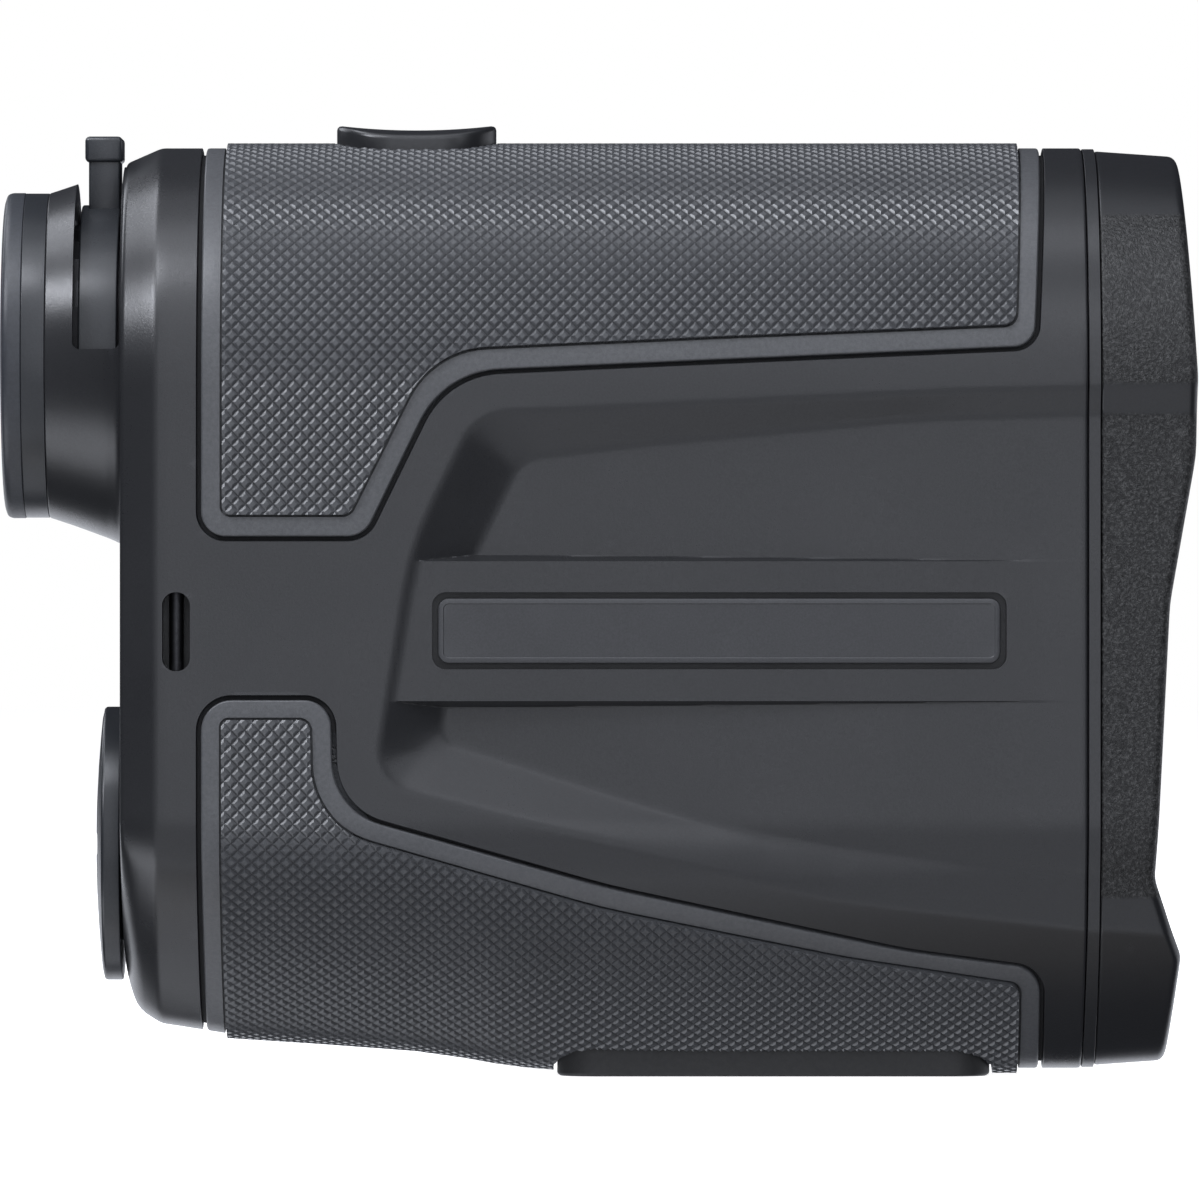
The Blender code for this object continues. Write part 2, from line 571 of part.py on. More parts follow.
# ---------------------------------------------------------------- housing
def main_housing():
    """The moulded shell: eyepiece boss, seats for the armour, sunk sides and an open front."""
    shell = body_loft("main_housing", REAR_X, HOUSING_FRONT_X, 0.0, SHELL)
    flare = [(radius * MM, x * MM) for radius, x in BOSS_FLARE]
    boss = turned("boss", [(0, flare[0][1])] + flare + [(0, flare[-1][1])], EYE_AXIS, steps=32)
    trim = loft("boss_trim", [[(x, y, z) for _, y, z in section(REAR_X, 0.12 * MM)]
                              for x in (BOSS_REAR_X - 5 * MM, REAR_X + 3 * MM)])
    boolean(boss, trim, "INTERSECT")
    boolean(shell, boss, "UNION")
    collar = turned("cap_collar", rod_profile(11.9 * MM, -38.4 * MM, -33 * MM),
                    (0, 0, BATTERY_Z), steps=28)
    cavity = body_loft("cavity", -36.5 * MM, FAR, WALL_INSIDE, coarse=True)
    boolean(cavity, collar)
    for index, (x, z) in enumerate(BOARD_SCREWS):
        stud = turned(f"stud_{index}", tube_profile(1.05 * MM, 2.4 * MM, 12.7 * MM, 18 * MM),
                      (x, 0, z), aim="Y", steps=10)
        boolean(cavity, stud)
    boolean(shell, cavity)
    boolean(shell, UPPER_SEAT)
    boolean(shell, LOWER_SEAT)
    for side, relief in RELIEFS.items():
        boolean(shell, relief)
        recess = side_prism(f"plate_recess_{side}", round_corners(
            box_corners((PLATE_X[0] - PLATE_GROOVE, PLATE_Z[0] - PLATE_GROOVE),
                        (PLATE_X[1] + PLATE_GROOVE, PLATE_Z[1] + PLATE_GROOVE), 1.15 * MM),
            unit=1.0), -(PLATE_THICKNESS + GAP), PLATE_THICKNESS + GAP)
        recess.matrix_world = plate_frame(side)
        boolean(shell, recess)
    bore = turned("eyepiece_bore", rod_profile(BOSS_BORE, BOSS_REAR_X - 2 * MM, BOSS_BORE_END),
                  EYE_AXIS, steps=40)
    boolean(shell, bore)
    throat = turned("barrel_hole", rod_profile(BARREL_RADIUS + GAP, -40 * MM, -30 * MM),
                    (0, 0, EYE_Z), steps=32)
    boolean(shell, throat)
    slot = block("diopter_slot", (DIOPTER_SLOT_X[0], -FAR / 2, EYE_Z + 0.3 * MM),
                 (DIOPTER_SLOT_X[1], FAR / 2, FAR * 1.6))
    boolean(shell, slot)
    battery_bore = turned("battery_bore", [(0, -45 * MM), (9.9 * MM, -45 * MM),
                                           (9.9 * MM, -37.2 * MM), (9.55 * MM, -37.2 * MM),
                                           (9.55 * MM, -30 * MM), (0, -30 * MM)],
                          (0, 0, BATTERY_Z), steps=36)
    boolean(shell, battery_bore)
    boolean(shell, TRIGGER_WELL)
    boolean(shell, MODE_WELL)
    strap = round_corners(box_corners((STRAP_X[0], STRAP_Z[0]), (STRAP_X[1], STRAP_Z[1]),
                                      1.1 * MM), unit=1.0)
    boolean(shell, side_prism("strap_slot", strap, -FAR / 2, -(BODY_RADIUS - 3.0 * MM)))
    pin_hole = turned("strap_pin_hole", rod_profile(STRAP_PIN_RADIUS + GAP,
                                                    STRAP_Z[0] - 1.6 * MM, STRAP_Z[1] + 1.6 * MM),
                      STRAP_PIN_FOOT, aim="Z", steps=12)
    return boolean(shell, pin_hole)


main_housing()


# ---------------------------------------------------------------- rubber armour and foot
def armour(name, corners, field_corners, x_span):
    """A rubber panel wrapped over both sides, with its gripping field standing proud."""
    outline = grow(round_corners(corners), -ARMOUR_GROOVE)
    panel = body_loft(name, *x_span, 0.0, RUBBER)
    boolean(panel, side_prism(name + "_outline", outline, -FAR, FAR), "INTERSECT")
    field = body_loft(name + "_field", *x_span, -ARMOUR_FIELD_RISE)
    boolean(field, side_prism(name + "_field_outline", round_corners(field_corners), -FAR, FAR),
            "INTERSECT")
    boolean(panel, field, "UNION")
    return boolean(panel, body_loft(name + "_core", REAR_X - 2 * MM, FAR, ARMOUR_DEPTH,
                                    coarse=True))


upper = armour("upper_armour", UPPER_ARMOUR, UPPER_FIELD, (-34 * MM, 38.5 * MM))
boolean(upper, TRIGGER_WELL)
lower = armour("lower_armour", LOWER_ARMOUR, LOWER_FIELD, (-34 * MM, 38.5 * MM))
boolean(lower, FOOT_WINDOW)

foot = top_prism("base_pad", FOOT_OUTLINE, 0.0, 6 * MM, FOOT_RUBBER)
boolean(foot, body_loft("foot_core", REAR_X, FAR, ARMOUR_DEPTH, coarse=True))


# ---------------------------------------------------------------- front end
def front_bezel():
    """The hood over both lenses, tapering slightly, its front edge a wave of two lobes."""
    bezel = body_loft("front_bezel", BEZEL_REAR_X, BEZEL_FRONT_X,
                      lambda x: 0.25 * MM + 0.07 * (x - BEZEL_REAR_X), BEZEL, extra=[46 * MM])
    wave = round_corners(BEZEL_WAVE + [(70, -6, 0), (70, 85, 0)])
    boolean(bezel, side_prism("bezel_wave", wave, -FAR, FAR))
    spigot = body_loft("bezel_spigot", 37.6 * MM, BEZEL_REAR_X + 1 * MM, WALL_INSIDE + GAP,
                       coarse=True)
    boolean(spigot, block("spigot_top", (30 * MM, -FAR, 38.6 * MM), (FAR, FAR, 2 * FAR)))
    boolean(bezel, spigot, "UNION")
    for relief in RELIEFS.values():
        boolean(bezel, relief)
    hood = turned("objective_hood", [(0, 30 * MM), (17.2 * MM, 30 * MM), (17.2 * MM, 41.9 * MM),
                                     (16.3 * MM, 42.6 * MM), (17.6 * MM, 52 * MM), (0, 52 * MM)],
                  (0, 0, TOP_AXIS_Z), steps=40)
    boolean(bezel, hood)
    port = turned("receiver_hood", [(0, 30 * MM), (11.35 * MM, 30 * MM), (11.35 * MM, 41.9 * MM),
                                    (10.2 * MM, 42.6 * MM), (11.3 * MM, 52 * MM), (0, 52 * MM)],
                  (0, 0, RECEIVER_Z), steps=32)
    return boolean(bezel, port)


def ring_strip():
    """The recessed gasket between housing and bezel, a closed band."""
    strip = body_loft("front_gasket", *GASKET_X, 0.85 * MM, SOFT_SEAL)
    return boolean(strip, body_loft("gasket_opening", 39 * MM, 43 * MM, 2.7 * MM))


def lens_profile(radius, rear, front, rear_bulge, front_bulge, steps=3):
    """A lens between two spherical faces, rear at X = rear and front at X = front."""
    profile = []
    for index in range(steps + 1):
        share = index / steps
        profile.append((radius * share, rear + rear_bulge * share * share))
    for index in range(steps, -1, -1):
        share = index / steps
        profile.append((radius * share, front - front_bulge * share * share))
    return profile


front_bezel()
ring_strip()
turned("objective_cell", [(16.0 * MM, 41.0 * MM), (16.8 * MM, 41.0 * MM), (16.8 * MM, 28 * MM),
                          (15.0 * MM, 24 * MM), (11.0 * MM, -2.5 * MM), (10.2 * MM, -2.5 * MM),
                          (14.2 * MM, 24 * MM), (14.6 * MM, 33.6 * MM), (16.0 * MM, 33.6 * MM)],
       (0, 0, TOP_AXIS_Z), MATT_METAL, steps=28)
turned("objective_lens", lens_profile(15.7 * MM, 33.0 * MM, 40.0 * MM, 0.9 * MM, 2.4 * MM),
       (0, 0, TOP_AXIS_Z), GLASS, steps=28)
turned("objective_retaining_ring", tube_profile(14.9 * MM, 15.7 * MM, 38.2 * MM, 39.6 * MM),
       (0, 0, TOP_AXIS_Z), BLACK_METAL, steps=28)
turned("receiver_cell", [(RECEIVER_BORE, 41.0 * MM), (11.0 * MM, 41.0 * MM), (11.0 * MM, 22 * MM),
                         (8.6 * MM, 22 * MM), (8.6 * MM, 33.4 * MM), (RECEIVER_BORE, 33.4 * MM)],
       (0, 0, RECEIVER_Z), MATT_METAL, steps=24)
turned("receiver_lens", lens_profile(9.4 * MM, 33.2 * MM, 39.9 * MM, 0.5 * MM, 2.6 * MM),
       (0, 0, RECEIVER_Z), GLASS, steps=24)
turned("receiver_retaining_ring", tube_profile(8.7 * MM, 9.4 * MM, 38.0 * MM, 39.4 * MM),
       (0, 0, RECEIVER_Z), BLACK_METAL, steps=24)


# ---------------------------------------------------------------- side trim
def name_plate(side):
    """The bare plate glued into the rib on one side."""
    outline = round_corners(box_corners((PLATE_X[0], PLATE_Z[0]), (PLATE_X[1], PLATE_Z[1]),
                                        0.9 * MM), unit=1.0)
    inward = 1 if side == "right" else -1
    plate = side_prism(f"nameplate_{side}", outline, 0.0, inward * PLATE_THICKNESS, PLATE_FILM)
    plate.matrix_world = plate_frame(side)


for plate_side in ("right", "left"):
    name_plate(plate_side)

turned("strap_pin", rod_profile(STRAP_PIN_RADIUS, STRAP_Z[0] - 1.3 * MM, STRAP_Z[1] + 1.3 * MM),
       STRAP_PIN_FOOT, STEEL, aim="Z", steps=12)


# ---------------------------------------------------------------- eyepiece
def around_eye(radius, angle):
    """(Y, Z) of a point at a radius and angle from the eyepiece axis."""
    return radius * math.cos(angle), EYE_Z + radius * math.sin(angle)


def screw(name, head_radius, head, shank_radius, shank, centre, aim):
    """A cheese-head screw with a driver slot. Head and shank are (start, end) on its axis."""
    outward = 1 if head[0] > shank[0] else -1
    outer = max(head) if outward > 0 else min(head)
    inner = min(head) if outward > 0 else max(head)
    tip = min(shank) if outward > 0 else max(shank)
    profile = [(0, outer), (head_radius, outer), (head_radius, inner), (shank_radius, inner),
               (shank_radius, tip), (0, tip)]
    return turned(name, profile, centre, STEEL, aim=aim, steps=10)


def eyepiece_barrel():
    """The fixed tube that the ocular slides in, flanged to the inside of the rear wall."""
    low, high = FLANGE_X
    barrel = turned("eyepiece_barrel", [
        (BARREL_BORE, BARREL_X[0]), (BARREL_RADIUS, BARREL_X[0]), (BARREL_RADIUS, low),
        (16.6 * MM, low), (16.6 * MM, high), (BARREL_RADIUS, high), (BARREL_RADIUS, BARREL_X[1]),
        (BARREL_BORE, BARREL_X[1])], EYE_AXIS, BLACK_METAL, steps=28)
    boolean(barrel, body_loft("flange_trim", REAR_X - 12 * MM, -30 * MM, WALL_INSIDE + GAP,
                              coarse=True), "INTERSECT")
    half = CAM_PIN_RADIUS + GAP
    window = block("cam_window", (CAM_X - half, -FAR / 2, EYE_Z + 4.2 * MM),
                   (CAM_X + half, FAR / 2, EYE_Z + 14 * MM))
    boolean(barrel, window)
    for index, angle in enumerate(FLANGE_SCREW_ANGLES, 1):
        y, z = around_eye(FLANGE_SCREW_RADIUS, angle)
        hole = turned(f"flange_hole_{index}", rod_profile(1.15 * MM, -38.5 * MM, -30 * MM),
                      (0, y, z), steps=10)
        boolean(barrel, hole)
        boolean(bpy.data.objects["main_housing"], hole)
        screw(f"barrel_screw_{index}", 1.6 * MM, (-33.9 * MM, -32.9 * MM),
              0.8 * MM, (-38.1 * MM, -33.9 * MM), (0, y, z), "X")


def diopter_ring():
    """The focusing ring with its finger lever, and the pin that drives the ocular."""
    ring = turned("diopter_ring", tube_profile(DIOPTER_BORE, DIOPTER_RADIUS, *DIOPTER_X),
                  EYE_AXIS, SHELL, steps=36)
    neck_half, head_half = LEVER_HALF_WIDTH
    foot, tip = LEVER_HEAD
    neck = block("lever_neck", (LEVER_NECK_X[0], -neck_half, EYE_Z + DIOPTER_BORE + 0.8 * MM),
                 (LEVER_NECK_X[1], neck_half, EYE_Z + foot + 0.5 * MM))
    boolean(ring, neck, "UNION")
    head = block("lever_head", (LEVER_HEAD_X[0], -head_half, EYE_Z + foot),
                 (LEVER_HEAD_X[1], head_half, EYE_Z + tip), bevel=0.5 * MM)
    boolean(ring, head, "UNION")
    pin = turned("cam_pin", rod_profile(CAM_PIN_RADIUS, 8.7 * MM, 11.9 * MM),
                 (CAM_X, 0, EYE_Z), aim="Z", steps=10)
    return boolean(ring, pin, "UNION")


def ocular_cell():
    """The sliding lens mount. Its helical groove takes the pin of the diopter ring."""
    cell = turned("ocular_cell", [(7.1 * MM, -44.8 * MM), (CELL_RADIUS, -44.8 * MM),
                                  (CELL_RADIUS, -35.6 * MM), (7.9 * MM, -35.6 * MM),
                                  (7.9 * MM, -44.3 * MM), (7.1 * MM, -44.3 * MM)],
                  EYE_AXIS, MATT_BLACK, steps=28)
    rings = []
    half = CAM_PIN_RADIUS + GAP + 0.1 * MM
    for index in range(13):
        angle = CAM_ANGLE * 1.15 * (index / 6 - 1)
        middle = CAM_X - CAM_TRAVEL * angle / CAM_ANGLE
        ring = []
        for along, radius in ((-half, 8.4), (half, 8.4), (half, 11.5), (-half, 11.5)):
            ring.append((middle + along, -radius * MM * math.sin(angle),
                         EYE_Z + radius * MM * math.cos(angle)))
        rings.append(ring)
    return boolean(cell, loft("cam_groove", rings))


def eyecup():
    """Guide ring, twisting sleeve and soft rim, from the inside out."""
    turned("eyecup_guide_ring", tube_profile(BARREL_RADIUS + GAP, 12.2 * MM, *EYECUP_GUIDE_X),
           EYE_AXIS, BLACK_METAL, steps=28)
    shoulder = EYECUP_SEAM_X + GAP
    turned("eyecup_sleeve", [(12.5 * MM, -48.6 * MM), (12.85 * MM, -48.6 * MM),
                             (12.85 * MM, shoulder), (13.4 * MM, shoulder),
                             (13.5 * MM, shoulder + 0.15 * MM), (13.5 * MM, EYECUP_X[1]),
                             (12.5 * MM, EYECUP_X[1])], EYE_AXIS, SHELL, steps=32)
    turned("eyecup_rubber", [(9.4 * MM, -48.9 * MM), (9.7 * MM, EYECUP_X[0]),
                             (12.8 * MM, EYECUP_X[0]), (13.4 * MM, -49.05 * MM),
                             (EYECUP_RADIUS, -48.7 * MM), (EYECUP_RADIUS, EYECUP_SEAM_X),
                             (13.15 * MM, EYECUP_SEAM_X), (13.15 * MM, -48.8 * MM),
                             (9.6 * MM, -48.7 * MM)], EYE_AXIS, EYECUP_RUBBER, steps=32)


eyepiece_barrel()
diopter_ring()
ocular_cell()
turned("eye_lens", lens_profile(7.6 * MM, -44.5 * MM, -41.2 * MM, 0.6 * MM, 0.7 * MM),
       EYE_AXIS, GLASS, steps=20)
turned("ocular_spacer_ring", tube_profile(6.9 * MM, 7.6 * MM, -41.3 * MM, -39.0 * MM),
       EYE_AXIS, BLACK_METAL, steps=20)
turned("field_lens", lens_profile(7.6 * MM, -39.3 * MM, -36.2 * MM, 0.7 * MM, 0.5 * MM),
       EYE_AXIS, GLASS, steps=20)
eyecup()


# ---------------------------------------------------------------- battery compartment

def battery_cap():
    """The screw cap with a coin slot, hollow inside for its contact spring."""
    rear, front = CAP_X
    dome = [(radius * MM, rear + depth * MM) for radius, depth in CAP_DOME]
    cap = turned("battery_cap", dome + [
        (CAP_RADIUS, front), (8.0 * MM, front), (8.0 * MM, -37.2 * MM), (9.25 * MM, -36.9 * MM),
        (9.25 * MM, -35.2 * MM), (6.6 * MM, -35.2 * MM), (6.6 * MM, -38.9 * MM),
        (0, -38.9 * MM)], BATTERY_AXIS, SHELL, steps=30)
    slot = block("coin_slot", (rear - 2 * MM, -7.2 * MM, BATTERY_Z - 0.9 * MM),
                 (rear + 1.0 * MM, 7.2 * MM, BATTERY_Z + 0.9 * MM))
    return boolean(cap, slot)


def seal_ring():
    """The O-ring behind the cap's rim."""
    middle = 8.95 * MM
    thickness = 0.62 * MM
    profile = []
    for index in range(6):
        angle = 2 * math.pi * index / 6
        profile.append((middle + thickness * math.cos(angle),
                        -38.35 * MM + thickness * math.sin(angle)))
    turned("cap_seal_ring", profile, BATTERY_AXIS, SOFT_SEAL, steps=24)


def coil_spring(name, radius, wire, start, end, turns, per_turn=8):
    """A helical spring along X, as a round wire on a poly line."""
    curve = bpy.data.curves.new(name, "CURVE")
    curve.dimensions = "3D"
    curve.bevel_depth = wire / 2
    curve.bevel_resolution = 1
    curve.use_fill_caps = True
    count = turns * per_turn + 1
    spline = curve.splines.new("POLY")
    spline.points.add(count - 1)
    for index, point in enumerate(spline.points):
        angle = 2 * math.pi * index / per_turn
        along = start + (end - start) * index / (count - 1)
        point.co = (along, radius * math.cos(angle), radius * math.sin(angle), 1)
    spring = bpy.data.objects.new(name, curve)
    PARTS.objects.link(spring)
    spring.location = BATTERY_AXIS
    curve.materials.append(STEEL)
    return spring


battery_cap()
seal_ring()
coil_spring("cap_spring", 4.0 * MM, 0.5 * MM, -38.3 * MM, -35.2 * MM, 3)
turned("battery_tube", [(8.15 * MM, -32.7 * MM), (9.1 * MM, -32.7 * MM), (9.1 * MM, -5.3 * MM),
                        (2.0 * MM, -5.3 * MM), (2.0 * MM, -6.1 * MM), (8.15 * MM, -6.1 * MM)],
       BATTERY_AXIS, CHIP, steps=20)
turned("battery", [(0, BATTERY_X[0]), (7.3 * MM, BATTERY_X[0]),
                   (BATTERY_RADIUS, BATTERY_X[0] + 0.5 * MM),
                   (BATTERY_RADIUS, BATTERY_X[1] - 0.5 * MM), (7.3 * MM, BATTERY_X[1]),
                   (3.1 * MM, BATTERY_X[1]), (3.1 * MM, BATTERY_X[1] + 0.5 * MM),
                   (0, BATTERY_X[1] + 0.5 * MM)], BATTERY_AXIS, WRAP, steps=20)
turned("battery_contact", rod_profile(5.6 * MM, -6.8 * MM, -6.4 * MM), BATTERY_AXIS, BRASS,
       steps=20)


# ---------------------------------------------------------------- controls
def trigger_button():
    """The saddle-shaped button on top, crowned across, with its retaining flange and stem."""
    outline = capsule(TRIGGER_X, 0, *TRIGGER_SIZE)
    button = top_prism("trigger_button", outline, 71.9 * MM, TRIGGER_TOP_Z, SHELL)
    crown = turned("trigger_crown", rod_profile(TRIGGER_TOP_Z - TOP_AXIS_Z, -40 * MM, 10 * MM),
                   (0, 0, TOP_AXIS_Z), steps=96)
    boolean(button, crown, "INTERSECT")
    dip = 0.4 * MM
    reach = TRIGGER_SIZE[0] / 2
    scoop = (reach * reach + dip * dip) / (2 * dip)
    saddle = turned("trigger_saddle", rod_profile(scoop, -20 * MM, 20 * MM),
                    (TRIGGER_X, 0, TRIGGER_TOP_Z - dip + scoop), aim="Y", steps=120)
    boolean(button, saddle)
    flange = top_prism("trigger_flange", capsule(TRIGGER_X, 0, TRIGGER_SIZE[0] + 2.2 * MM,
                                                 TRIGGER_SIZE[1] + 2.0 * MM), 71.3 * MM, 72.2 * MM)
    boolean(button, flange, "UNION")
    stem = turned("trigger_stem", rod_profile(1.6 * MM, 69.5 * MM, 71.8 * MM),
                  (TRIGGER_X, 0, 0), aim="Z", steps=20)
    return boolean(button, stem, "UNION")


trigger_button()
switch = block("trigger_switch", (TRIGGER_X - 2.6 * MM, -2.6 * MM, 66.7 * MM),
               (TRIGGER_X + 2.6 * MM, 2.6 * MM, 68.0 * MM), CHIP)
boolean(switch, turned("switch_plunger", rod_profile(1.1 * MM, 67.5 * MM, 68.4 * MM),
                       (TRIGGER_X, 0, 0), aim="Z", steps=16), "UNION")
turned("mode_button", [(0, 14.6 * MM), (1.2 * MM, 14.6 * MM), (1.2 * MM, 15.9 * MM),
                       (4.3 * MM, 15.9 * MM), (4.3 * MM, 16.8 * MM), (MODE_RADIUS, 16.8 * MM),
                       (MODE_RADIUS, 20.4 * MM), (2.9 * MM, 20.75 * MM), (1.6 * MM, 20.7 * MM),
                       (0, 20.62 * MM)], (MODE_X, 0, MODE_Z), SHELL, aim="Y", steps=20)
block("mode_switch", (MODE_X - 2.6 * MM, 12.7 * MM, MODE_Z - 2.6 * MM),
      (MODE_X + 2.6 * MM, 13.7 * MM, MODE_Z + 2.6 * MM), CHIP)


# ---------------------------------------------------------------- optics and electronics inside
def main_board():
    """The circuit board along the left wall, held by three screws to studs of the housing."""
    board = block("main_board", (-30 * MM, 11.2 * MM, 17 * MM), (21.4 * MM, 12.4 * MM, 44 * MM),
                  BOARD)
    processor = block("processor", (-2 * MM, 9.9 * MM, 30 * MM), (8 * MM, 11.4 * MM, 40 * MM))
    boolean(board, processor, "UNION")
    for index, (x, z) in enumerate(BOARD_SCREWS, 1):
        hole = turned(f"board_hole_{index}", rod_profile(1.1 * MM, 8 * MM, 14 * MM), (x, 0, z),
                      aim="Y", steps=16)
        boolean(board, hole)
        screw(f"board_screw_{index}", 1.7 * MM, (10.0 * MM, 10.9 * MM), 0.75 * MM,
              (10.9 * MM, 16.4 * MM), (x, 0, z), "Y")


def prism_holder():
    """The open-sided cage for the roof prism, with its spring plate and two screws."""
    holder = block("prism_holder", (-31.8 * MM, -11 * MM, 47.9 * MM),
                   (-2.8 * MM, 11 * MM, 66.4 * MM), MATT_BLACK)
    boolean(holder, block("prism_pocket", (-29.8 * MM, -20 * MM, 50.0 * MM),
                          (-4.8 * MM, 8.8 * MM, 64.2 * MM)))
    boolean(holder, turned("light_path", rod_profile(6.6 * MM, -40 * MM, 5 * MM),
                           (0, 0, 57.1 * MM), steps=32))
    block("prism_clamp", (-28 * MM, -11.9 * MM, 48.2 * MM), (-7 * MM, -11.3 * MM, 66.0 * MM),
          STEEL)
    clamp = bpy.data.objects["prism_clamp"]
    for index, z in enumerate((48.95 * MM, 65.3 * MM), 1):
        centre = (-17.5 * MM, 0, z)
        hole = turned(f"clamp_hole_{index}", rod_profile(0.75 * MM, -14 * MM, -6.5 * MM), centre,
                      aim="Y", steps=12)
        boolean(holder, hole)
        boolean(clamp, hole)
        screw(f"clamp_screw_{index}", 1.1 * MM, (-12.2 * MM, -13.0 * MM), 0.45 * MM,
              (-12.2 * MM, -7 * MM), centre, "Y")


main_board()
prism_holder()
PRISM_SIDE = [(-29.5, 50.3, 0), (-5.1, 50.3, 0), (-5.1, 58.0, 0), (-11.0, 63.9, 0),
              (-23.6, 63.9, 0), (-29.5, 58.0, 0)]
side_prism("roof_prism", round_corners(PRISM_SIDE), -8.4 * MM, 8.4 * MM, GLASS)
display = block("display_module", (-33.4 * MM, -9 * MM, 50.5 * MM),
                (-32.1 * MM, 9 * MM, 69.5 * MM), BOARD)
boolean(display, turned("display_window", rod_profile(6.8 * MM, -36 * MM, -30 * MM), EYE_AXIS,
                        steps=32))
turned("laser_diode_module", [(0, 34.5 * MM), (5.6 * MM, 34.5 * MM), (5.6 * MM, 35.9 * MM),
                              (4.2 * MM, 35.9 * MM), (4.2 * MM, 45.8 * MM), (2.6 * MM, 45.8 * MM),
                              (2.6 * MM, 47.5 * MM), (0, 47.5 * MM)], (-17.5 * MM, 0, 0),
       BLACK_METAL, aim="Z", steps=20)
receiver = block("receiver_board", (13.6 * MM, -8 * MM, 11.5 * MM),
                 (14.8 * MM, 8 * MM, 28 * MM), BOARD)
boolean(receiver, turned("diode_can", rod_profile(2.6 * MM, 14.2 * MM, 18 * MM),
                         (0, 0, RECEIVER_Z), steps=20), "UNION")

for piece in PARTS.objects:
    if piece.type == "MESH" and not any(step.type == "SCREW" for step in piece.modifiers):
        smooth(piece)
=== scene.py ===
# %% [markdown]
# # A pocket laser rangefinder, dressed for a studio picture
# The solids of this rangefinder come ready in the model file: their places, sizes and joints are fixed. This
# lesson builds the surfaces that a person sees on top of them: the moulded shell with its soft creases, the
# rubber armour with its cut diamonds, the rough front hood, and the small controls. Each piece is made in
# metres in the same frame as the solids, so nothing is ever fitted by eye.

# %% Load the imported solids
import json
import math

import bmesh
import bpy
import numpy as np
from mathutils import Matrix, Vector
from mathutils.geometry import delaunay_2d_cdt

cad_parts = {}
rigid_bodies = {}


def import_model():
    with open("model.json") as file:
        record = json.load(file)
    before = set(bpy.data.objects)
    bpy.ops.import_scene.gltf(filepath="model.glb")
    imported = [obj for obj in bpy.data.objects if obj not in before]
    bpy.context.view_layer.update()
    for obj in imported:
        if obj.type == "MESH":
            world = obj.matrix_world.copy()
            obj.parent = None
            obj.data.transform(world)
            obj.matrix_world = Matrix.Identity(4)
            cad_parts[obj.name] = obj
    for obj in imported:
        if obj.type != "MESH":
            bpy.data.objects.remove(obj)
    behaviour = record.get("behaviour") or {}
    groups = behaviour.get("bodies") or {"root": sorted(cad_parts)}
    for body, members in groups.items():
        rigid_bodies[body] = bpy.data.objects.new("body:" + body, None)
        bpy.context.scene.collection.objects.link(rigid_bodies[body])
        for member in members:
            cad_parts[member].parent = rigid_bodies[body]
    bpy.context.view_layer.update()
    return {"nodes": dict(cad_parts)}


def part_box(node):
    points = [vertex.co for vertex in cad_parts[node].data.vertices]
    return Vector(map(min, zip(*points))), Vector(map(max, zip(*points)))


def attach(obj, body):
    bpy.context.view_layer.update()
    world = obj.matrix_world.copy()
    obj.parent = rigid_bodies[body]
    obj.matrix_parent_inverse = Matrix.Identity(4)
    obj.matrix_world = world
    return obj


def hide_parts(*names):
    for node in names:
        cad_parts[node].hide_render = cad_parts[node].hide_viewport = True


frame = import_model()
MM = 0.001

# %% [markdown]
# ## Camera first
# The rangefinder is seen square on from its right side, from far away with a long lens, so its outline is
# almost without perspective. A long lens is a narrow field of view: 36 mm of sensor over 431 mm of lens.

# %% Camera
SENSOR_WIDTH, FOCAL_LENGTH = 36.0, 431.2
CAMERA_DISTANCE = 1200 * MM
CAMERA_X, CAMERA_Z = 0.225 * MM, 39.6 * MM


def add_object(name, data):
    """A new object in the scene, holding a mesh, a camera or a light."""
    thing = bpy.data.objects.new(name, data)
    bpy.context.scene.collection.objects.link(thing)
    return thing


camera_data = bpy.data.cameras.new("side_camera")
camera_data.sensor_width = SENSOR_WIDTH
camera_data.lens = FOCAL_LENGTH
camera_data.clip_start = 0.05
camera_data.clip_end = 20.0
camera = add_object("side_camera", camera_data)
camera.location = (CAMERA_X, -CAMERA_DISTANCE, CAMERA_Z)
camera.rotation_euler = (math.pi / 2, 0, 0)
bpy.context.scene.camera = camera
print("field of view:", round(math.degrees(camera_data.angle), 2), "degrees")

# %% [markdown]
# ## The body as a sheet that can be unrolled
# Nearly everything on this product follows one surface: a half circle over the top, flat sides and an egg
# shaped belly. If a point is named by its distance along the body (x), its distance round the body from the
# top (girth) and its height above the surface (rise), then panels, grooves and diamonds can be drawn flat,
# like a label, and wrapped on at the end. The belly is not a circle but three arcs of different radius. The
# first radius is chosen, and the other two follow, because the arcs have to meet each other, the flat side
# and the keel without a kink.

# %% Sizes of the body
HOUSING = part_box("main_housing")
RADIUS = HOUSING[1].y
TOP_AXIS = HOUSING[1].z - RADIUS
FLOOR = HOUSING[0].z
SIDE_FOOT = 22.0 * MM
REAR_X = -39.2 * MM
FRONT_X = HOUSING[1].x
FLANK_RADIUS = 12.0 * MM
FLANK_TURN = math.radians(30)
KEEL_TURN = math.radians(58)
# Height of the underside along the body: a rounded heel, then a long slope down to the foot.
UNDERSIDE = np.array([(-39.2, 7.4), (-39.0, 6.7), (-38.8, 6.05), (-38.6, 5.5), (-38.35, 5.02),
                      (-38.0, 4.7), (-37.6, 4.5), (-37.0, 4.36), (-35.5, 4.15), (-33, 3.76),
                      (-31, 3.45), (-23, 2.93), (-15.1, 2.35), (-11, 1.78), (-8.6, 1.35),
                      (-6, 1.0), (-3.5, 0.8), (2, 0.63), (8, 0.54)]) * MM
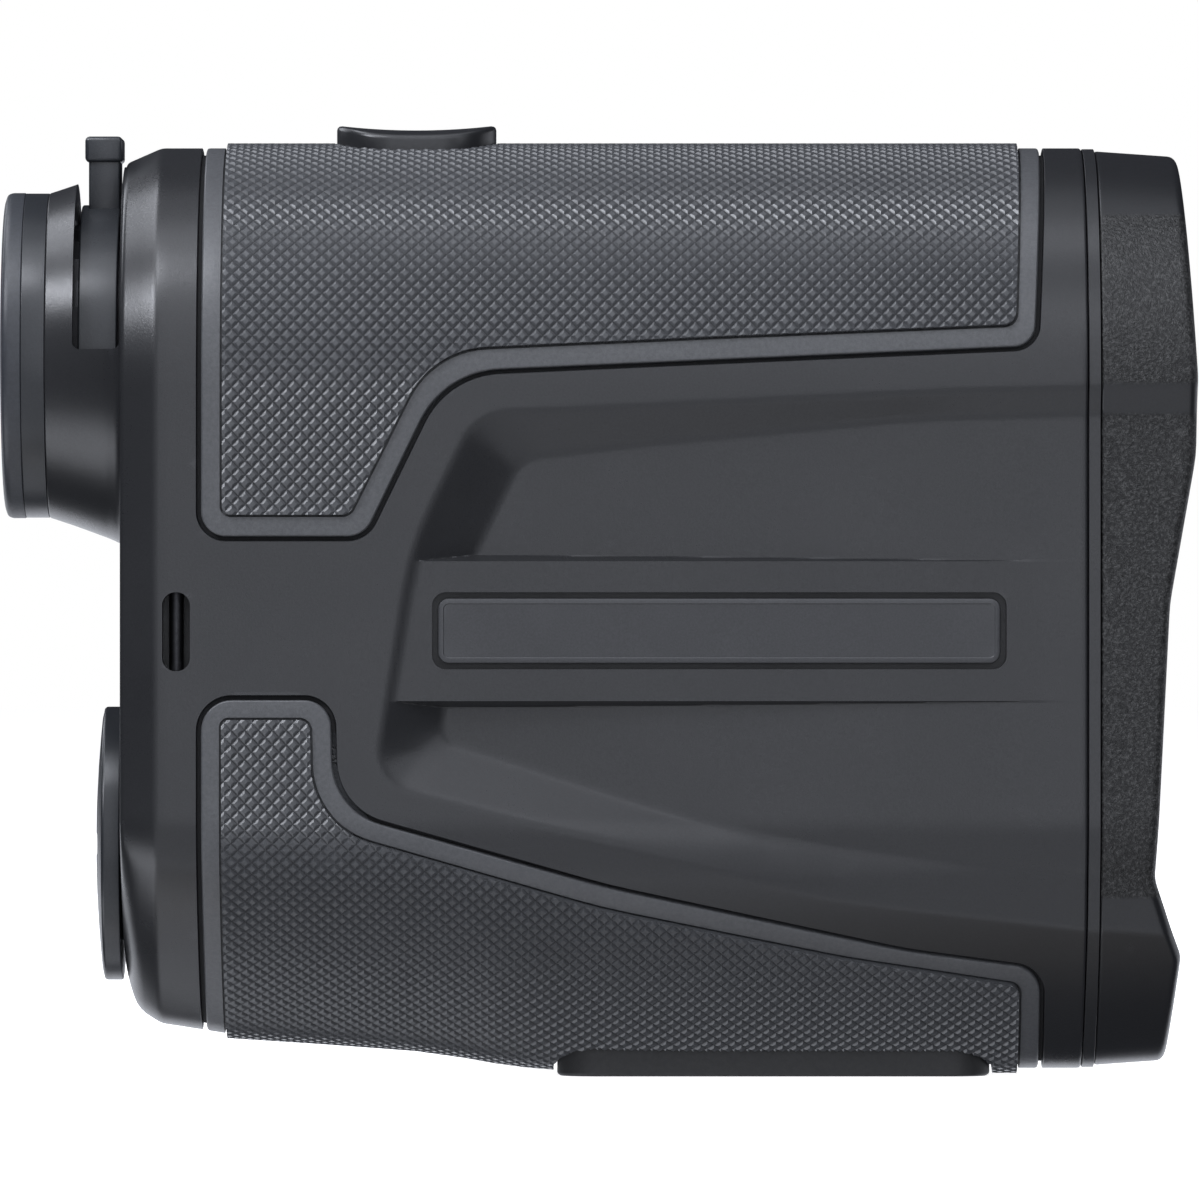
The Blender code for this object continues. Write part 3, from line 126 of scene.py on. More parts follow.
# How far the rear edge is cut back, against the distance from the rear face.
REAR_CHAMFER = np.array([(0, 1.55), (0.06, 1.38), (0.16, 1.25), (0.3, 1.15), (2.55, 0.165), (2.72, 0.10),
                         (2.88, 0.05), (3.05, 0.015), (3.25, 0)]) * MM


def belly_radii():
    """Radii of the two lower arcs that carry the section from the flat side to the keel."""
    width = RADIUS - FLANK_RADIUS * (1 - math.cos(FLANK_TURN))
    height = SIDE_FOOT - FLOOR - FLANK_RADIUS * math.sin(FLANK_TURN)
    a = math.cos(FLANK_TURN) - math.cos(KEEL_TURN)
    b = math.sin(KEEL_TURN) - math.sin(FLANK_TURN)
    c = math.cos(KEEL_TURN)
    d = 1 - math.sin(KEEL_TURN)
    keel = (b * width - a * height) / (b * c - a * d)
    return (height - d * keel) / b, keel


MIDDLE_RADIUS, KEEL_RADIUS = belly_radii()
LENGTHS = np.cumsum([0, RADIUS * math.pi / 2, TOP_AXIS - SIDE_FOOT, FLANK_RADIUS * FLANK_TURN,
                     MIDDLE_RADIUS * (KEEL_TURN - FLANK_TURN), KEEL_RADIUS * (math.pi / 2 - KEEL_TURN)])
GIRTH = LENGTHS[-1]
print("girth of half the body:", round(GIRTH / MM, 1), "mm")

# %% [markdown]
# `skin` is the wrap itself. It places a point on the section, presses the lower part up to the underside and
# pulls it in at the rear chamfer. One function for every piece is what makes the panels lie in their seats.

# %% The wrap
def half_section(s):
    """Point and outward normal (y, z, ny, nz) at a distance s from the top, down one side."""
    turn = s / RADIUS
    y, z = RADIUS * np.sin(turn), TOP_AXIS + RADIUS * np.cos(turn)
    ny, nz = np.sin(turn), np.cos(turn)
    flat = s > LENGTHS[1]
    y, z = np.where(flat, RADIUS, y), np.where(flat, TOP_AXIS - (s - LENGTHS[1]), z)
    ny, nz = np.where(flat, 1.0, ny), np.where(flat, 0.0, nz)
    centre = np.array([RADIUS - FLANK_RADIUS, SIDE_FOOT])
    start, radius = 0.0, FLANK_RADIUS
    for index, (following, end) in enumerate(((MIDDLE_RADIUS, FLANK_TURN), (KEEL_RADIUS, KEEL_TURN),
                                              (None, math.pi / 2))):
        turn = start + (s - LENGTHS[2 + index]) / radius
        here = s > LENGTHS[2 + index]
        y = np.where(here, centre[0] + radius * np.cos(turn), y)
        z = np.where(here, centre[1] - radius * np.sin(turn), z)
        ny, nz = np.where(here, np.cos(turn), ny), np.where(here, -np.sin(turn), nz)
        if following:
            out = np.array([math.cos(end), -math.sin(end)])
            centre = centre + out * (radius - following)
            start, radius = end, following
    return y, z, ny, nz


def underside(x):
    """Height of the keel line at a place along the body."""
    return np.interp(x, UNDERSIDE[:, 0], UNDERSIDE[:, 1])


def squash(x):
    """How much the lower part of the section is pressed up, so that it ends on the underside."""
    return (SIDE_FOOT - underside(x)) / (SIDE_FOOT - FLOOR)


def skin(x, s, rise):
    """Places in space for distances along (x) and round (s, right side negative), lifted by rise."""
    x, s, rise = np.broadcast_arrays(np.asarray(x, float), np.asarray(s, float), np.asarray(rise, float))
    y, z, ny, nz = half_section(np.minimum(np.abs(s), GIRTH))
    low = z < SIDE_FOOT
    press = squash(x)
    z = np.where(low, SIDE_FOOT - (SIDE_FOOT - z) * press, z)
    nz = np.where(low, nz / press, nz)
    size = np.hypot(ny, nz)
    out = (rise - np.interp(x - REAR_X, REAR_CHAMFER[:, 0], REAR_CHAMFER[:, 1])) / size
    side = np.where(s < 0, -1.0, 1.0)
    return np.stack([x, side * (y + ny * out), z + nz * out], axis=-1)


GIRTH_STEPS = np.linspace(0, GIRTH, 4001)
GIRTH_HEIGHTS = half_section(GIRTH_STEPS)[1]


def girth_at(x, z):
    """Distance round the body from the top down to a height z."""
    z = np.asarray(z, float)
    level = np.where(z < SIDE_FOOT, SIDE_FOOT - (SIDE_FOOT - z) / squash(np.asarray(x, float)), z)
    return np.interp(-level, -GIRTH_HEIGHTS, GIRTH_STEPS)


print("height half way round:", round(half_section(GIRTH / 2)[1] / MM, 1), "mm")

# %% [markdown]
# ## Drawing tools
# Outlines are short lists of corners with a radius each, because that is how a designer dimensions them.
# `round_corners` turns them into fine polylines, `grow` moves one outwards, and `densify` adds points so that
# a long straight edge can bend when it is wrapped.

# %% Outlines
ARC_STEP = math.radians(6)


def round_corners(corners):
    """A closed outline through (a, b, radius) corners in millimetres, each corner turned into an arc."""
    outline = []
    for index, (a, b, radius) in enumerate(corners):
        here = Vector((a, b))
        back = (Vector(corners[index - 1][:2]) - here).normalized()
        ahead = (Vector(corners[(index + 1) % len(corners)][:2]) - here).normalized()
        turn = math.pi - back.angle(ahead)
        if radius == 0 or turn < 1e-4:
            outline.append(here * MM)
            continue
        centre = here + (back + ahead).normalized() * (radius / math.cos(turn / 2))
        start = here + back * (radius * math.tan(turn / 2)) - centre
        side = 1.0 if back.x * ahead.y - back.y * ahead.x < 0 else -1.0
        bends = max(2, math.ceil(turn / ARC_STEP))
        outline += [(centre + Matrix.Rotation(side * turn * bend / bends, 2) @ start) * MM
                    for bend in range(bends + 1)]
    return np.array([tuple(point) for point in outline])


def densify(outline, spacing, closed=True):
    """The same line with no gap between points longer than spacing."""
    points = []
    following = np.roll(outline, -1, axis=0) if closed else outline[1:]
    for here, after in zip(outline, following):
        count = max(1, math.ceil(np.linalg.norm(after - here) / spacing))
        points += [here + (after - here) * share / count for share in range(count)]
    if not closed:
        points.append(outline[-1])
    return np.array(points)


def grow(outline, distance):
    """A closed outline moved outwards by distance all round."""
    before = outline - np.roll(outline, 1, axis=0)
    after = np.roll(outline, -1, axis=0) - outline
    before /= np.linalg.norm(before, axis=1, keepdims=True) + 1e-15
    after /= np.linalg.norm(after, axis=1, keepdims=True) + 1e-15
    turning = np.sum(outline[:, 0] * np.roll(outline[:, 1], -1) - np.roll(outline[:, 0], -1) * outline[:, 1])
    side = 1.0 if turning > 0 else -1.0
    out = np.stack([before[:, 1] + after[:, 1], -before[:, 0] - after[:, 0]], axis=1)
    out /= np.linalg.norm(out, axis=1, keepdims=True) + 1e-15
    square = np.maximum(0.5, np.sum(out * np.stack([before[:, 1], -before[:, 0]], axis=1), axis=1))
    return outline + out * (side * distance / square)[:, None]


def distance_inside(points, outline):
    """Distance from each point to a closed outline, positive inside it."""
    points = np.asarray(points, float)
    best = np.full(len(points), 1e9)
    inside = np.zeros(len(points), bool)
    for a, b in zip(outline, np.roll(outline, -1, axis=0)):
        edge = b - a
        length = edge @ edge
        if length < 1e-18:
            continue
        share = np.clip(((points - a) @ edge) / length, 0, 1)
        best = np.minimum(best, np.sum((points - a - share[:, None] * edge) ** 2, axis=1))
        crosses = (a[1] > points[:, 1]) != (b[1] > points[:, 1])
        with np.errstate(divide="ignore", invalid="ignore"):
            reach = (b[0] - a[0]) * (points[:, 1] - a[1]) / (b[1] - a[1]) + a[0]
        inside ^= crosses & (points[:, 0] < reach)
    return np.where(inside, 1, -1) * np.sqrt(best)


sample = round_corners([(0, 0, 2), (10, 0, 2), (10, 6, 2), (0, 6, 2)])
print("a rounded box of 10 x 6 mm:", len(sample), "points,", np.round(np.ptp(sample, axis=0) / MM, 2), "mm")

# %% [markdown]
# ## From points to pieces
# `piece` says at once which body a mesh rides on, which solid it stands for and which finish it takes, so
# that no piece can be left behind when a joint moves. `carve` applies Boolean cuts for good, so the finished
# mesh is plain.

# %% Making pieces
FINISHES = {}
SHARP = 32


def mesh_object(name, vertices, faces, sharp=SHARP):
    """An object from points and faces, smooth except where it bends by more than sharp degrees."""
    mesh = bpy.data.meshes.new(name)
    mesh.from_pydata(np.asarray(vertices).tolist(), [], [list(map(int, face)) for face in faces])
    mesh.validate()
    mesh.shade_smooth()
    mesh.set_sharp_from_angle(angle=math.radians(sharp))
    return add_object(name, mesh)


def turn_outwards(thing):
    """Makes every face look out of the solid."""
    shape = bmesh.new()
    shape.from_mesh(thing.data)
    bmesh.ops.recalc_face_normals(shape, faces=shape.faces)
    if shape.calc_volume(signed=True) < 0:
        bmesh.ops.reverse_faces(shape, faces=shape.faces)
    shape.to_mesh(thing.data)
    shape.free()
    return thing


def piece(thing, body, slot, finish, *nodes):
    """Gives a finished piece its material and its body, and hides the solids that it stands for. The slot is
    not used.
    """
    thing.data.materials.clear()
    thing.data.materials.append(FINISHES[finish])
    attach(thing, body)
    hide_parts(*nodes)


def carve(thing, *cutters, operation="DIFFERENCE", sharp=SHARP):
    """Applies Boolean operations and removes the cutters."""
    for cutter in cutters:
        step = thing.modifiers.new("cut", "BOOLEAN")
        step.operation = operation
        step.object = cutter
        step.solver = "MANIFOLD"
    graph = bpy.context.evaluated_depsgraph_get()
    mesh = bpy.data.meshes.new_from_object(thing.evaluated_get(graph))
    thing.modifiers.clear()
    thing.data = mesh
    mesh.shade_smooth()
    mesh.set_sharp_from_angle(angle=math.radians(sharp))
    for cutter in cutters:
        bpy.data.objects.remove(cutter, do_unlink=True)
    if len(mesh.polygons) == 0:
        raise RuntimeError(thing.name + " was cut away")
    return thing


print("faces that meet at more than", SHARP, "degrees keep a sharp edge")

# %% [markdown]
# Rings, lenses, bores and caps would come off a lathe, so they are drawn as a half section and turned.
# `softened` rounds the corners of that section first.

# %% Turned pieces
AIMS = {"X": Matrix.Rotation(math.pi / 2, 4, "Y"), "Y": Matrix.Rotation(-math.pi / 2, 4, "X"),
        "Z": Matrix.Identity(4)}


def turned(name, profile, centre, aim="X", steps=128):
    """A turned piece from (radius, distance along the axis) in millimetres, closed on itself."""
    profile = np.array(profile, float) * MM
    area = np.sum(profile[:, 0] * np.roll(profile[:, 1], -1) - np.roll(profile[:, 0], -1) * profile[:, 1])
    if area > 0:
        profile = profile[::-1]
    turns = np.linspace(0, 2 * math.pi, steps, endpoint=False)
    vertices = []
    rings = []
    for radius, along in profile:
        if radius < 1e-9:
            rings.append([len(vertices)] * steps)
            vertices.append((0, 0, along))
        else:
            rings.append(list(range(len(vertices), len(vertices) + steps)))
            vertices += [(radius * math.cos(turn), radius * math.sin(turn), along) for turn in turns]
    faces = []
    for low, high in zip(rings, rings[1:] + rings[:1]):
        for k in range(steps):
            corners = [low[k], high[k], high[(k + 1) % steps], low[(k + 1) % steps]]
            unique = list(dict.fromkeys(corners))
            if len(unique) > 2:
                faces.append(unique)
    thing = mesh_object(name, vertices, faces)
    thing.data.transform(Matrix.Translation(centre) @ AIMS[aim])
    return thing


EDGE_SHARE = 0.42


def softened(profile, radius):
    """A lathe profile with each corner off the axis turned into a small arc.

    An arc never takes more than EDGE_SHARE of the edge beside it."""
    outline = []
    for index, (a, b) in enumerate(profile):
        here = Vector((a, b))
        back = Vector(profile[index - 1]) - here
        ahead = Vector(profile[(index + 1) % len(profile)]) - here
        r = min(0 if a < 1e-6 else radius, EDGE_SHARE * back.length, EDGE_SHARE * ahead.length)
        if r < 1e-4 or back.length < 1e-9 or ahead.length < 1e-9:
            outline.append((a, b))
            continue
        start, end = here + back.normalized() * r, here + ahead.normalized() * r
        for t in np.linspace(0, 1, 5).tolist():
            point = start * (1 - t) ** 2 + here * 2 * t * (1 - t) + end * t ** 2
            outline.append((point.x, point.y))
    return outline


print("a softened square has", len(softened([(1, 0), (2, 0), (2, 1), (1, 1)], 0.1)), "points")

# %% [markdown]
# The other pieces are drawn flat: boxes with a bevel, prisms for the cuts, and stacks of outlines that are
# filled with triangles fine enough to bend, so that they can be wrapped round the body.

# %% Boxes and prisms
def block(name, low, high, bevel=0.0):
    """A box between two corners with rounded edges."""
    low, high = Vector(low), Vector(high)
    shape = bmesh.new()
    bmesh.ops.create_cube(shape, size=1.0)
    bmesh.ops.scale(shape, vec=high - low, verts=shape.verts)
    bmesh.ops.translate(shape, vec=(high + low) / 2, verts=shape.verts)
    if bevel:
        bmesh.ops.bevel(shape, geom=shape.edges[:], offset=bevel, segments=3, profile=0.5, affect="EDGES")
    mesh = bpy.data.meshes.new(name)
    shape.to_mesh(mesh)
    shape.free()
    mesh.shade_smooth()
    mesh.set_sharp_from_angle(angle=math.radians(SHARP))
    return add_object(name, mesh)


def tube_faces(rings, around):
    """Quads between rings of the same number of points, and a flat cap at each end."""
    faces = []
    for ring in range(rings - 1):
        base = ring * around
        faces += [(base + k, base + (k + 1) % around, base + around + (k + 1) % around, base + around + k)
                  for k in range(around)]
    faces.append(tuple(range(around))[::-1])
    faces.append(tuple(range((rings - 1) * around, rings * around)))
    return faces


def prism(name, start, end):
    """A straight solid between two outlines with the same number of points."""
    return turn_outwards(mesh_object(name, start + end, tube_faces(2, len(start))))


def side_prism(name, outline, y_from, y_to):
    """A prism across the body from an outline seen from the side, in X and Z."""
    return prism(name, [(x, y_from, z) for x, z in outline], [(x, y_to, z) for x, z in outline])


def top_prism(name, outline, z_from, z_to):
    """A prism from an outline seen from above, in X and Y."""
    return prism(name, [(x, y, z_from) for x, y in outline], [(x, y, z_to) for x, y in outline])


print("faces of a prism over that box:", len(tube_faces(2, len(sample))))

# %% Solids drawn flat
def flat_solid(name, rings, wrap, spacing):
    """A closed solid from stacked outlines, [(outline, rise), ...] from the bottom up, then wrapped.

    Every ring has the same number of points. The first and the last are filled with a mesh of triangles
    fine enough to bend."""
    vertices = []
    faces = []
    count = len(rings[0][0])
    for outline, rise in rings:
        vertices += [(point[0], point[1], rise) for point in outline]
    for level in range(len(rings) - 1):
        for k in range(count):
            a, b = level * count + k, level * count + (k + 1) % count
            faces.append((a, b, b + count, a + count))
    for level, upwards in ((0, False), (len(rings) - 1, True)):
        outline, rise = rings[level]
        low, high = outline.min(axis=0), outline.max(axis=0)
        grid = np.stack(np.meshgrid(np.arange(low[0], high[0], spacing),
                                    np.arange(low[1], high[1], spacing)), axis=-1).reshape(-1, 2)
        grid = grid[distance_inside(grid, outline) > 0.45 * spacing]
        points = [Vector(point) for point in outline] + [Vector(point) for point in grid]
        edges = [(k, (k + 1) % count) for k in range(count)]
        filled = delaunay_2d_cdt(points, edges, [], 1, 1e-9)
        places, triangles, sources = filled[0], filled[2], filled[3]
        numbers = []
        for place, source in zip(places, sources):
            ring_point = [k for k in source if k < count]
            if ring_point:
                numbers.append(level * count + ring_point[0])
            else:
                numbers.append(len(vertices))
                vertices.append((place.x, place.y, rise))
        for triangle in triangles:
            corners = [numbers[k] for k in triangle]
            faces.append(corners if upwards else corners[::-1])
    flat = np.array(vertices)
    thing = turn_outwards(mesh_object(name, wrap(flat[:, 0], flat[:, 1], flat[:, 2]), faces))
    thing.data.set_sharp_from_angle(angle=math.radians(SHARP))
    return thing


def under_belly(x, v, rise):
    """The wrap for a panel laid under the belly: v is the distance from the keel, right side negative."""
    return skin(x, np.where(v < 0, -(GIRTH + v), GIRTH - v), rise)


def wrapped_outline(corners, upper, spacing=0.5 * MM):
    """The flat outline of a panel that covers both sides, from its outline on the side of the body."""
    chain = densify(round_corners(corners), spacing, closed=False)
    limit = TOP_AXIS + RADIUS if upper else FLOOR
    chain = chain[chain[:, 1] < limit] if upper else chain[chain[:, 1] > underside(chain[:, 0])]
    round_the_body = girth_at(chain[:, 0], chain[:, 1])
    across = round_the_body if upper else GIRTH - round_the_body
    right = np.stack([chain[:, 0], -across], axis=1)
    left = right[::-1] * np.array([1, -1])
    right, left = right[np.abs(right[:, 1]) > 0.2 * MM], left[np.abs(left[:, 1]) > 0.2 * MM]
    return densify(np.concatenate([right, left]), spacing * 1.4)


print("half girth at the foot of the rubber panel:", round(float(girth_at(0, 16 * MM)) / MM, 1), "mm")

# %% [markdown]
# ## Effects shared by the finishes
# A moulded part is never perfectly even. Four small effects come back in nearly every material here, so each
# is a node group that is built once: a fine grain that scatters light, a slow mottle that makes one area a
# little darker or glossier than the next, and worn edges and the painted shade of crevices, both found from
# the sharpness of the surface. A fifth one picks out a band of heights, for the hood.

# %% Node groups
def node_group(name, inputs, outputs):
    """An empty shader group with named sockets. Inputs are (name, default)."""
    group = bpy.data.node_groups.new(name, "ShaderNodeTree")
    for socket_name, default in inputs:
        socket = group.interface.new_socket(name=socket_name, in_out="INPUT", socket_type="NodeSocketFloat")
        socket.default_value = default
    for socket_name in outputs:
        group.interface.new_socket(name=socket_name, in_out="OUTPUT", socket_type="NodeSocketFloat")
    entry = group.nodes.new("NodeGroupInput")
    leave = group.nodes.new("NodeGroupOutput")
    return group, entry, leave


def maths(tree, operation, a, b=None, clamp=False):
    """A Math node whose inputs are sockets or numbers."""
    made = tree.nodes.new("ShaderNodeMath")
    made.operation = operation
    made.use_clamp = clamp
    for socket, value in zip(made.inputs, (a, b)):
        if value is None:
            continue
        if isinstance(value, (int, float)):
            socket.default_value = value
        else:
            tree.links.new(value, socket)
    return made.outputs[0]


def noise(tree, scale, detail, roughness):
    """A noise that is fixed to the object. The scale is a socket or a number, in blotches per metre."""
    made = tree.nodes.new("ShaderNodeTexNoise")
    tree.links.new(tree.nodes.new("ShaderNodeTexCoord").outputs["Object"], made.inputs["Vector"])
    made.inputs["Detail"].default_value = detail
    made.inputs["Roughness"].default_value = roughness
    if isinstance(scale, (int, float)):
        made.inputs["Scale"].default_value = scale
    else:
        tree.links.new(scale, made.inputs["Scale"])
    return made.outputs["Fac"]


def stretched(tree, value, contrast):
    """The value with more contrast about one half, kept between 0 and 1."""
    centred = maths(tree, "MULTIPLY", maths(tree, "SUBTRACT", value, 0.5), contrast)
    return maths(tree, "ADD", centred, 0.5, clamp=True)


def share(tree, above, below, width):
    """How far one value is over another, as a share of a width, kept between 0 and 1."""
    return maths(tree, "DIVIDE", maths(tree, "SUBTRACT", above, below), width, clamp=True)


print("node groups so far:", len(bpy.data.node_groups))

# %% [markdown]
# Grain and mottle are noises that are fixed to the object, so they move with a piece. Worn edges and the
# painted shade of crevices come from Pointiness, which is above one half on a convex edge and below it in a
# hollow.

# %% The five groups
def make_grain():
    """Fine pits of a spark-eroded mould: a height, and a mask of the shinier tops."""
    group, entry, leave = node_group("moulded_grain", [("Scale", 4000.0)], ["Height", "Tops"])
    coarse = noise(group, entry.outputs["Scale"], 3.0, 0.6)
    fine = noise(group, maths(group, "MULTIPLY", entry.outputs["Scale"], 2.7), 2.0, 0.5)
    mixed = maths(group, "ADD", maths(group, "MULTIPLY", coarse, 0.65), maths(group, "MULTIPLY", fine, 0.35))
    group.links.new(mixed, leave.inputs["Height"])
    group.links.new(stretched(group, mixed, 4.0), leave.inputs["Tops"])
    return group


def make_mottle():
    """Slow unevenness from handling and from the flow of the plastic."""
    group, entry, leave = node_group("handling_mottle", [("Scale", 60.0), ("Contrast", 1.0)], ["Mask"])
    slow = noise(group, entry.outputs["Scale"], 5.0, 0.62)
    group.links.new(stretched(group, slow, entry.outputs["Contrast"]), leave.inputs["Mask"])
    return group


def make_edge_wear():
    """Edges that hands and pockets polish: 1 on a sharp convex edge, 0 on the flat."""
    group, entry, leave = node_group("edge_wear", [("Start", 0.53), ("Width", 0.08), ("Breakup", 0.35)],
                                     ["Mask"])
    sharpness = group.nodes.new("ShaderNodeNewGeometry").outputs["Pointiness"]
    edge = share(group, sharpness, entry.outputs["Start"], entry.outputs["Width"])
    patches = maths(group, "MULTIPLY", noise(group, 900.0, 4.0, 0.6), entry.outputs["Breakup"])
    group.links.new(maths(group, "SUBTRACT", edge, patches, clamp=True), leave.inputs["Mask"])
    return group


def make_crevice_shade():
    """Painted shade for grooves and inner corners, where light doesn't reach: 1 in a sharp hollow, 0 on the
    flat.
    """
    group, entry, leave = node_group("crevice_shade", [("Start", 0.47), ("Width", 0.06)], ["Mask"])
    sharpness = group.nodes.new("ShaderNodeNewGeometry").outputs["Pointiness"]
    hollow = share(group, entry.outputs["Start"], sharpness, entry.outputs["Width"])
    group.links.new(hollow, leave.inputs["Mask"])
    return group


def make_band():
    """1 between two heights above the foot, in millimetres, with a soft edge."""
    group, entry, leave = node_group("height_band", [("Low", 0.0), ("High", 1.0), ("Softness", 0.35)],
                                     ["Mask"])
    split = group.nodes.new("ShaderNodeSeparateXYZ")
    group.links.new(group.nodes.new("ShaderNodeTexCoord").outputs["Object"], split.inputs[0])
    height = maths(group, "MULTIPLY", split.outputs["Z"], 1 / MM)
    over = share(group, height, entry.outputs["Low"], entry.outputs["Softness"])
    under = share(group, entry.outputs["High"], height, entry.outputs["Softness"])
    group.links.new(maths(group, "MULTIPLY", over, under), leave.inputs["Mask"])
    return group


GRAIN, MOTTLE, EDGE_WEAR, CREVICE_SHADE, BAND = (make_grain(), make_mottle(), make_edge_wear(), make_crevice_shade(),
                                           make_band())
print("shared effects:", ", ".join(group.name for group in (GRAIN, MOTTLE, EDGE_WEAR, CREVICE_SHADE, BAND)))

# %% [markdown]
# ## One recipe for every moulded finish
# Plastic, rubber and anodised metal differ here in colour, in how rough they are and in the size of their
# grain, not in how the nodes are wired. One function wires the groups to a Principled shader. Numbers that
# are the same all over a surface sit on the shader's own sockets, where they can be read and changed.

# %% Wiring
def new_material(name):
    """A material kept under its name in FINISHES, with its node tree and its Principled shader."""
    made = FINISHES[name] = bpy.data.materials.new(name)
    made.use_nodes = True
    return made.node_tree, made.node_tree.nodes["Principled BSDF"]


def use_group(tree, group, **values):
    """The outputs of a shared group, with numbers on its own input sockets."""
    made = tree.nodes.new("ShaderNodeGroup")
    made.node_tree = group
    for name, value in values.items():
        made.inputs[name].default_value = value
    return made.outputs


def mix(tree, mask, low, high, blend="MIX"):
    """A colour that runs from low to high with a mask. Each is a socket or a plain number or colour."""
    made = tree.nodes.new("ShaderNodeMix")
    made.data_type = "RGBA"
    made.blend_type = blend
    for socket, value in ((made.inputs[0], mask), (made.inputs[6], low), (made.inputs[7], high)):
        if isinstance(value, float):
            socket.default_value = value
        elif isinstance(value, tuple):
            socket.default_value = (*value, 1)
        else:
            tree.links.new(value, socket)
    return made.outputs[2]


def add_bump(tree, height, distance, below=None):
    """A bump with its height in metres, on top of another one if that is given."""
    bump = tree.nodes.new("ShaderNodeBump")
    bump.inputs["Strength"].default_value = 1.0
    bump.inputs["Distance"].default_value = distance
    tree.links.new(height, bump.inputs["Height"])
    if below is not None:
        tree.links.new(below, bump.inputs["Normal"])
    return bump.outputs["Normal"]


def tint(colour, factor):
    """The colour made lighter or darker."""
    return tuple(min(1.0, channel * factor) for channel in colour)


print("a tint of 1.5 turns 0.02 into", round(tint((0.02, 0.02, 0.02), 1.5)[0], 3))

# %% [markdown]
# The recipe starts with the colour and its mottle, speckles it with the grain, then lays on worn edges and
# paints shade into the hollows. Roughness takes the same masks, so that a worn edge is also a smoother one.

# %% The recipe
MOTTLE_ROUGHNESS, TOPS_POLISH, WEAR_POLISH, HOLLOW_ROUGHNESS = 0.10, 0.05, 0.18, 0.5
# Worn edges are lighter than the colour; hollows take painted shade at the second share of it.
WORN_TINT, HOLLOW_SHADE_TINT = 2.6, 0.15


def moulded(name, colour, roughness, grain_scale, grain_depth, unevenness=0.12, wear=0.0, metallic=0.0,
            specular=0.5, coat=0.0, sheen=0.0, hollow=0.8, hollow_shade_start=0.47, hollow_shade_width=0.06):
    """A material with grain, mottle, painted shade in the hollows and, if asked for, polished edges.

    Grain depth is in millimetres; hollow is the strength of the painted shade. Returns the node tree and the
    shader."""
    tree, shader = new_material(name)
    grain = use_group(tree, GRAIN, Scale=grain_scale)
    mottle = use_group(tree, MOTTLE, Contrast=1.6)["Mask"]
    base = mix(tree, mottle, tint(colour, 1 - unevenness), tint(colour, 1 + unevenness))
    speckle = mix(tree, grain["Tops"], (0.86, 0.86, 0.86), (1.14, 1.14, 1.14))
    base = mix(tree, 1.0, base, speckle, blend="MULTIPLY")
    rough = maths(tree, "ADD", maths(tree, "MULTIPLY", mottle, MOTTLE_ROUGHNESS),
                  roughness - MOTTLE_ROUGHNESS / 2)
    rough = maths(tree, "SUBTRACT", rough, maths(tree, "MULTIPLY", grain["Tops"], TOPS_POLISH), clamp=True)
    if wear:
        worn = use_group(tree, EDGE_WEAR)["Mask"]
        base = mix(tree, maths(tree, "MULTIPLY", worn, wear), base, tint(colour, WORN_TINT))
        rough = maths(tree, "SUBTRACT", rough, maths(tree, "MULTIPLY", worn, WEAR_POLISH * wear), clamp=True)
    # Painted shade: the hollows found by the crevice group are darkened to a small share of the colour, and
    # made rougher.
    crevice_shade = maths(tree, "MULTIPLY",
                    use_group(tree, CREVICE_SHADE, Start=hollow_shade_start, Width=hollow_shade_width)["Mask"], hollow)
    base = mix(tree, crevice_shade, base, tint(colour, HOLLOW_SHADE_TINT))
    rough = maths(tree, "ADD", rough, maths(tree, "MULTIPLY", crevice_shade, HOLLOW_ROUGHNESS), clamp=True)
    tree.links.new(base, shader.inputs["Base Color"])
    tree.links.new(rough, shader.inputs["Roughness"])
    tree.links.new(add_bump(tree, grain["Height"], grain_depth * MM), shader.inputs["Normal"])
    for socket, value in (("Metallic", metallic), ("Specular IOR Level", specular), ("Coat Weight", coat),
                          ("Sheen Weight", sheen)):
        shader.inputs[socket].default_value = value
    return tree, shader


print("worn edges are", WORN_TINT, "times and hollows", HOLLOW_SHADE_TINT, "times as bright as their colour")

# %% [markdown]
# ## The finishes
# Each call below is one finish: its colour, its roughness, and its grain in blotches per metre and in
# millimetres of depth. The rubber of the armour is paler than the plastic, and its valleys get the most
# painted shade.

# %% Plastic, rubber and metal
moulded("shell_plastic", (0.019, 0.0195, 0.021), 0.33, 5200, 0.010, wear=0.25, unevenness=0.06)
moulded("eyepiece_plastic", (0.020, 0.022, 0.025), 0.34, 5200, 0.010, wear=0.2, unevenness=0.06, hollow=0.3)
# The grip rubber takes the strongest painted shade, in the valleys between its diamonds.
moulded("grip_rubber", (0.068, 0.070, 0.074), 0.28, 2600, 0.010, unevenness=0.10, specular=0.35, hollow=1.0,
         hollow_shade_start=0.508, hollow_shade_width=0.032)
moulded("border_rubber", (0.078, 0.080, 0.084), 0.38, 3200, 0.024, unevenness=0.10)
moulded("foot_rubber", (0.022, 0.022, 0.022), 0.60, 2400, 0.030, sheen=0.05)
moulded("rim_rubber", (0.034, 0.037, 0.043), 0.46, 3000, 0.015, unevenness=0.10, hollow=0.3)
moulded("seal_rubber", (0.012, 0.012, 0.012), 0.60, 3000, 0.020)
moulded("joint_rubber", (0.021, 0.0215, 0.023), 0.34, 3600, 0.012, unevenness=0.08, hollow=0.2)
moulded("plate_film", (0.044, 0.045, 0.048), 0.38, 6000, 0.006, unevenness=0.06)
moulded("black_anodised", (0.020, 0.020, 0.022), 0.38, 5000, 0.006, metallic=0.7, wear=0.3)
moulded("flat_black", (0.010, 0.010, 0.011), 0.82, 3600, 0.020)
moulded("bright_steel", (0.55, 0.55, 0.56), 0.30, 3200, 0.006, metallic=1.0, wear=0.1)
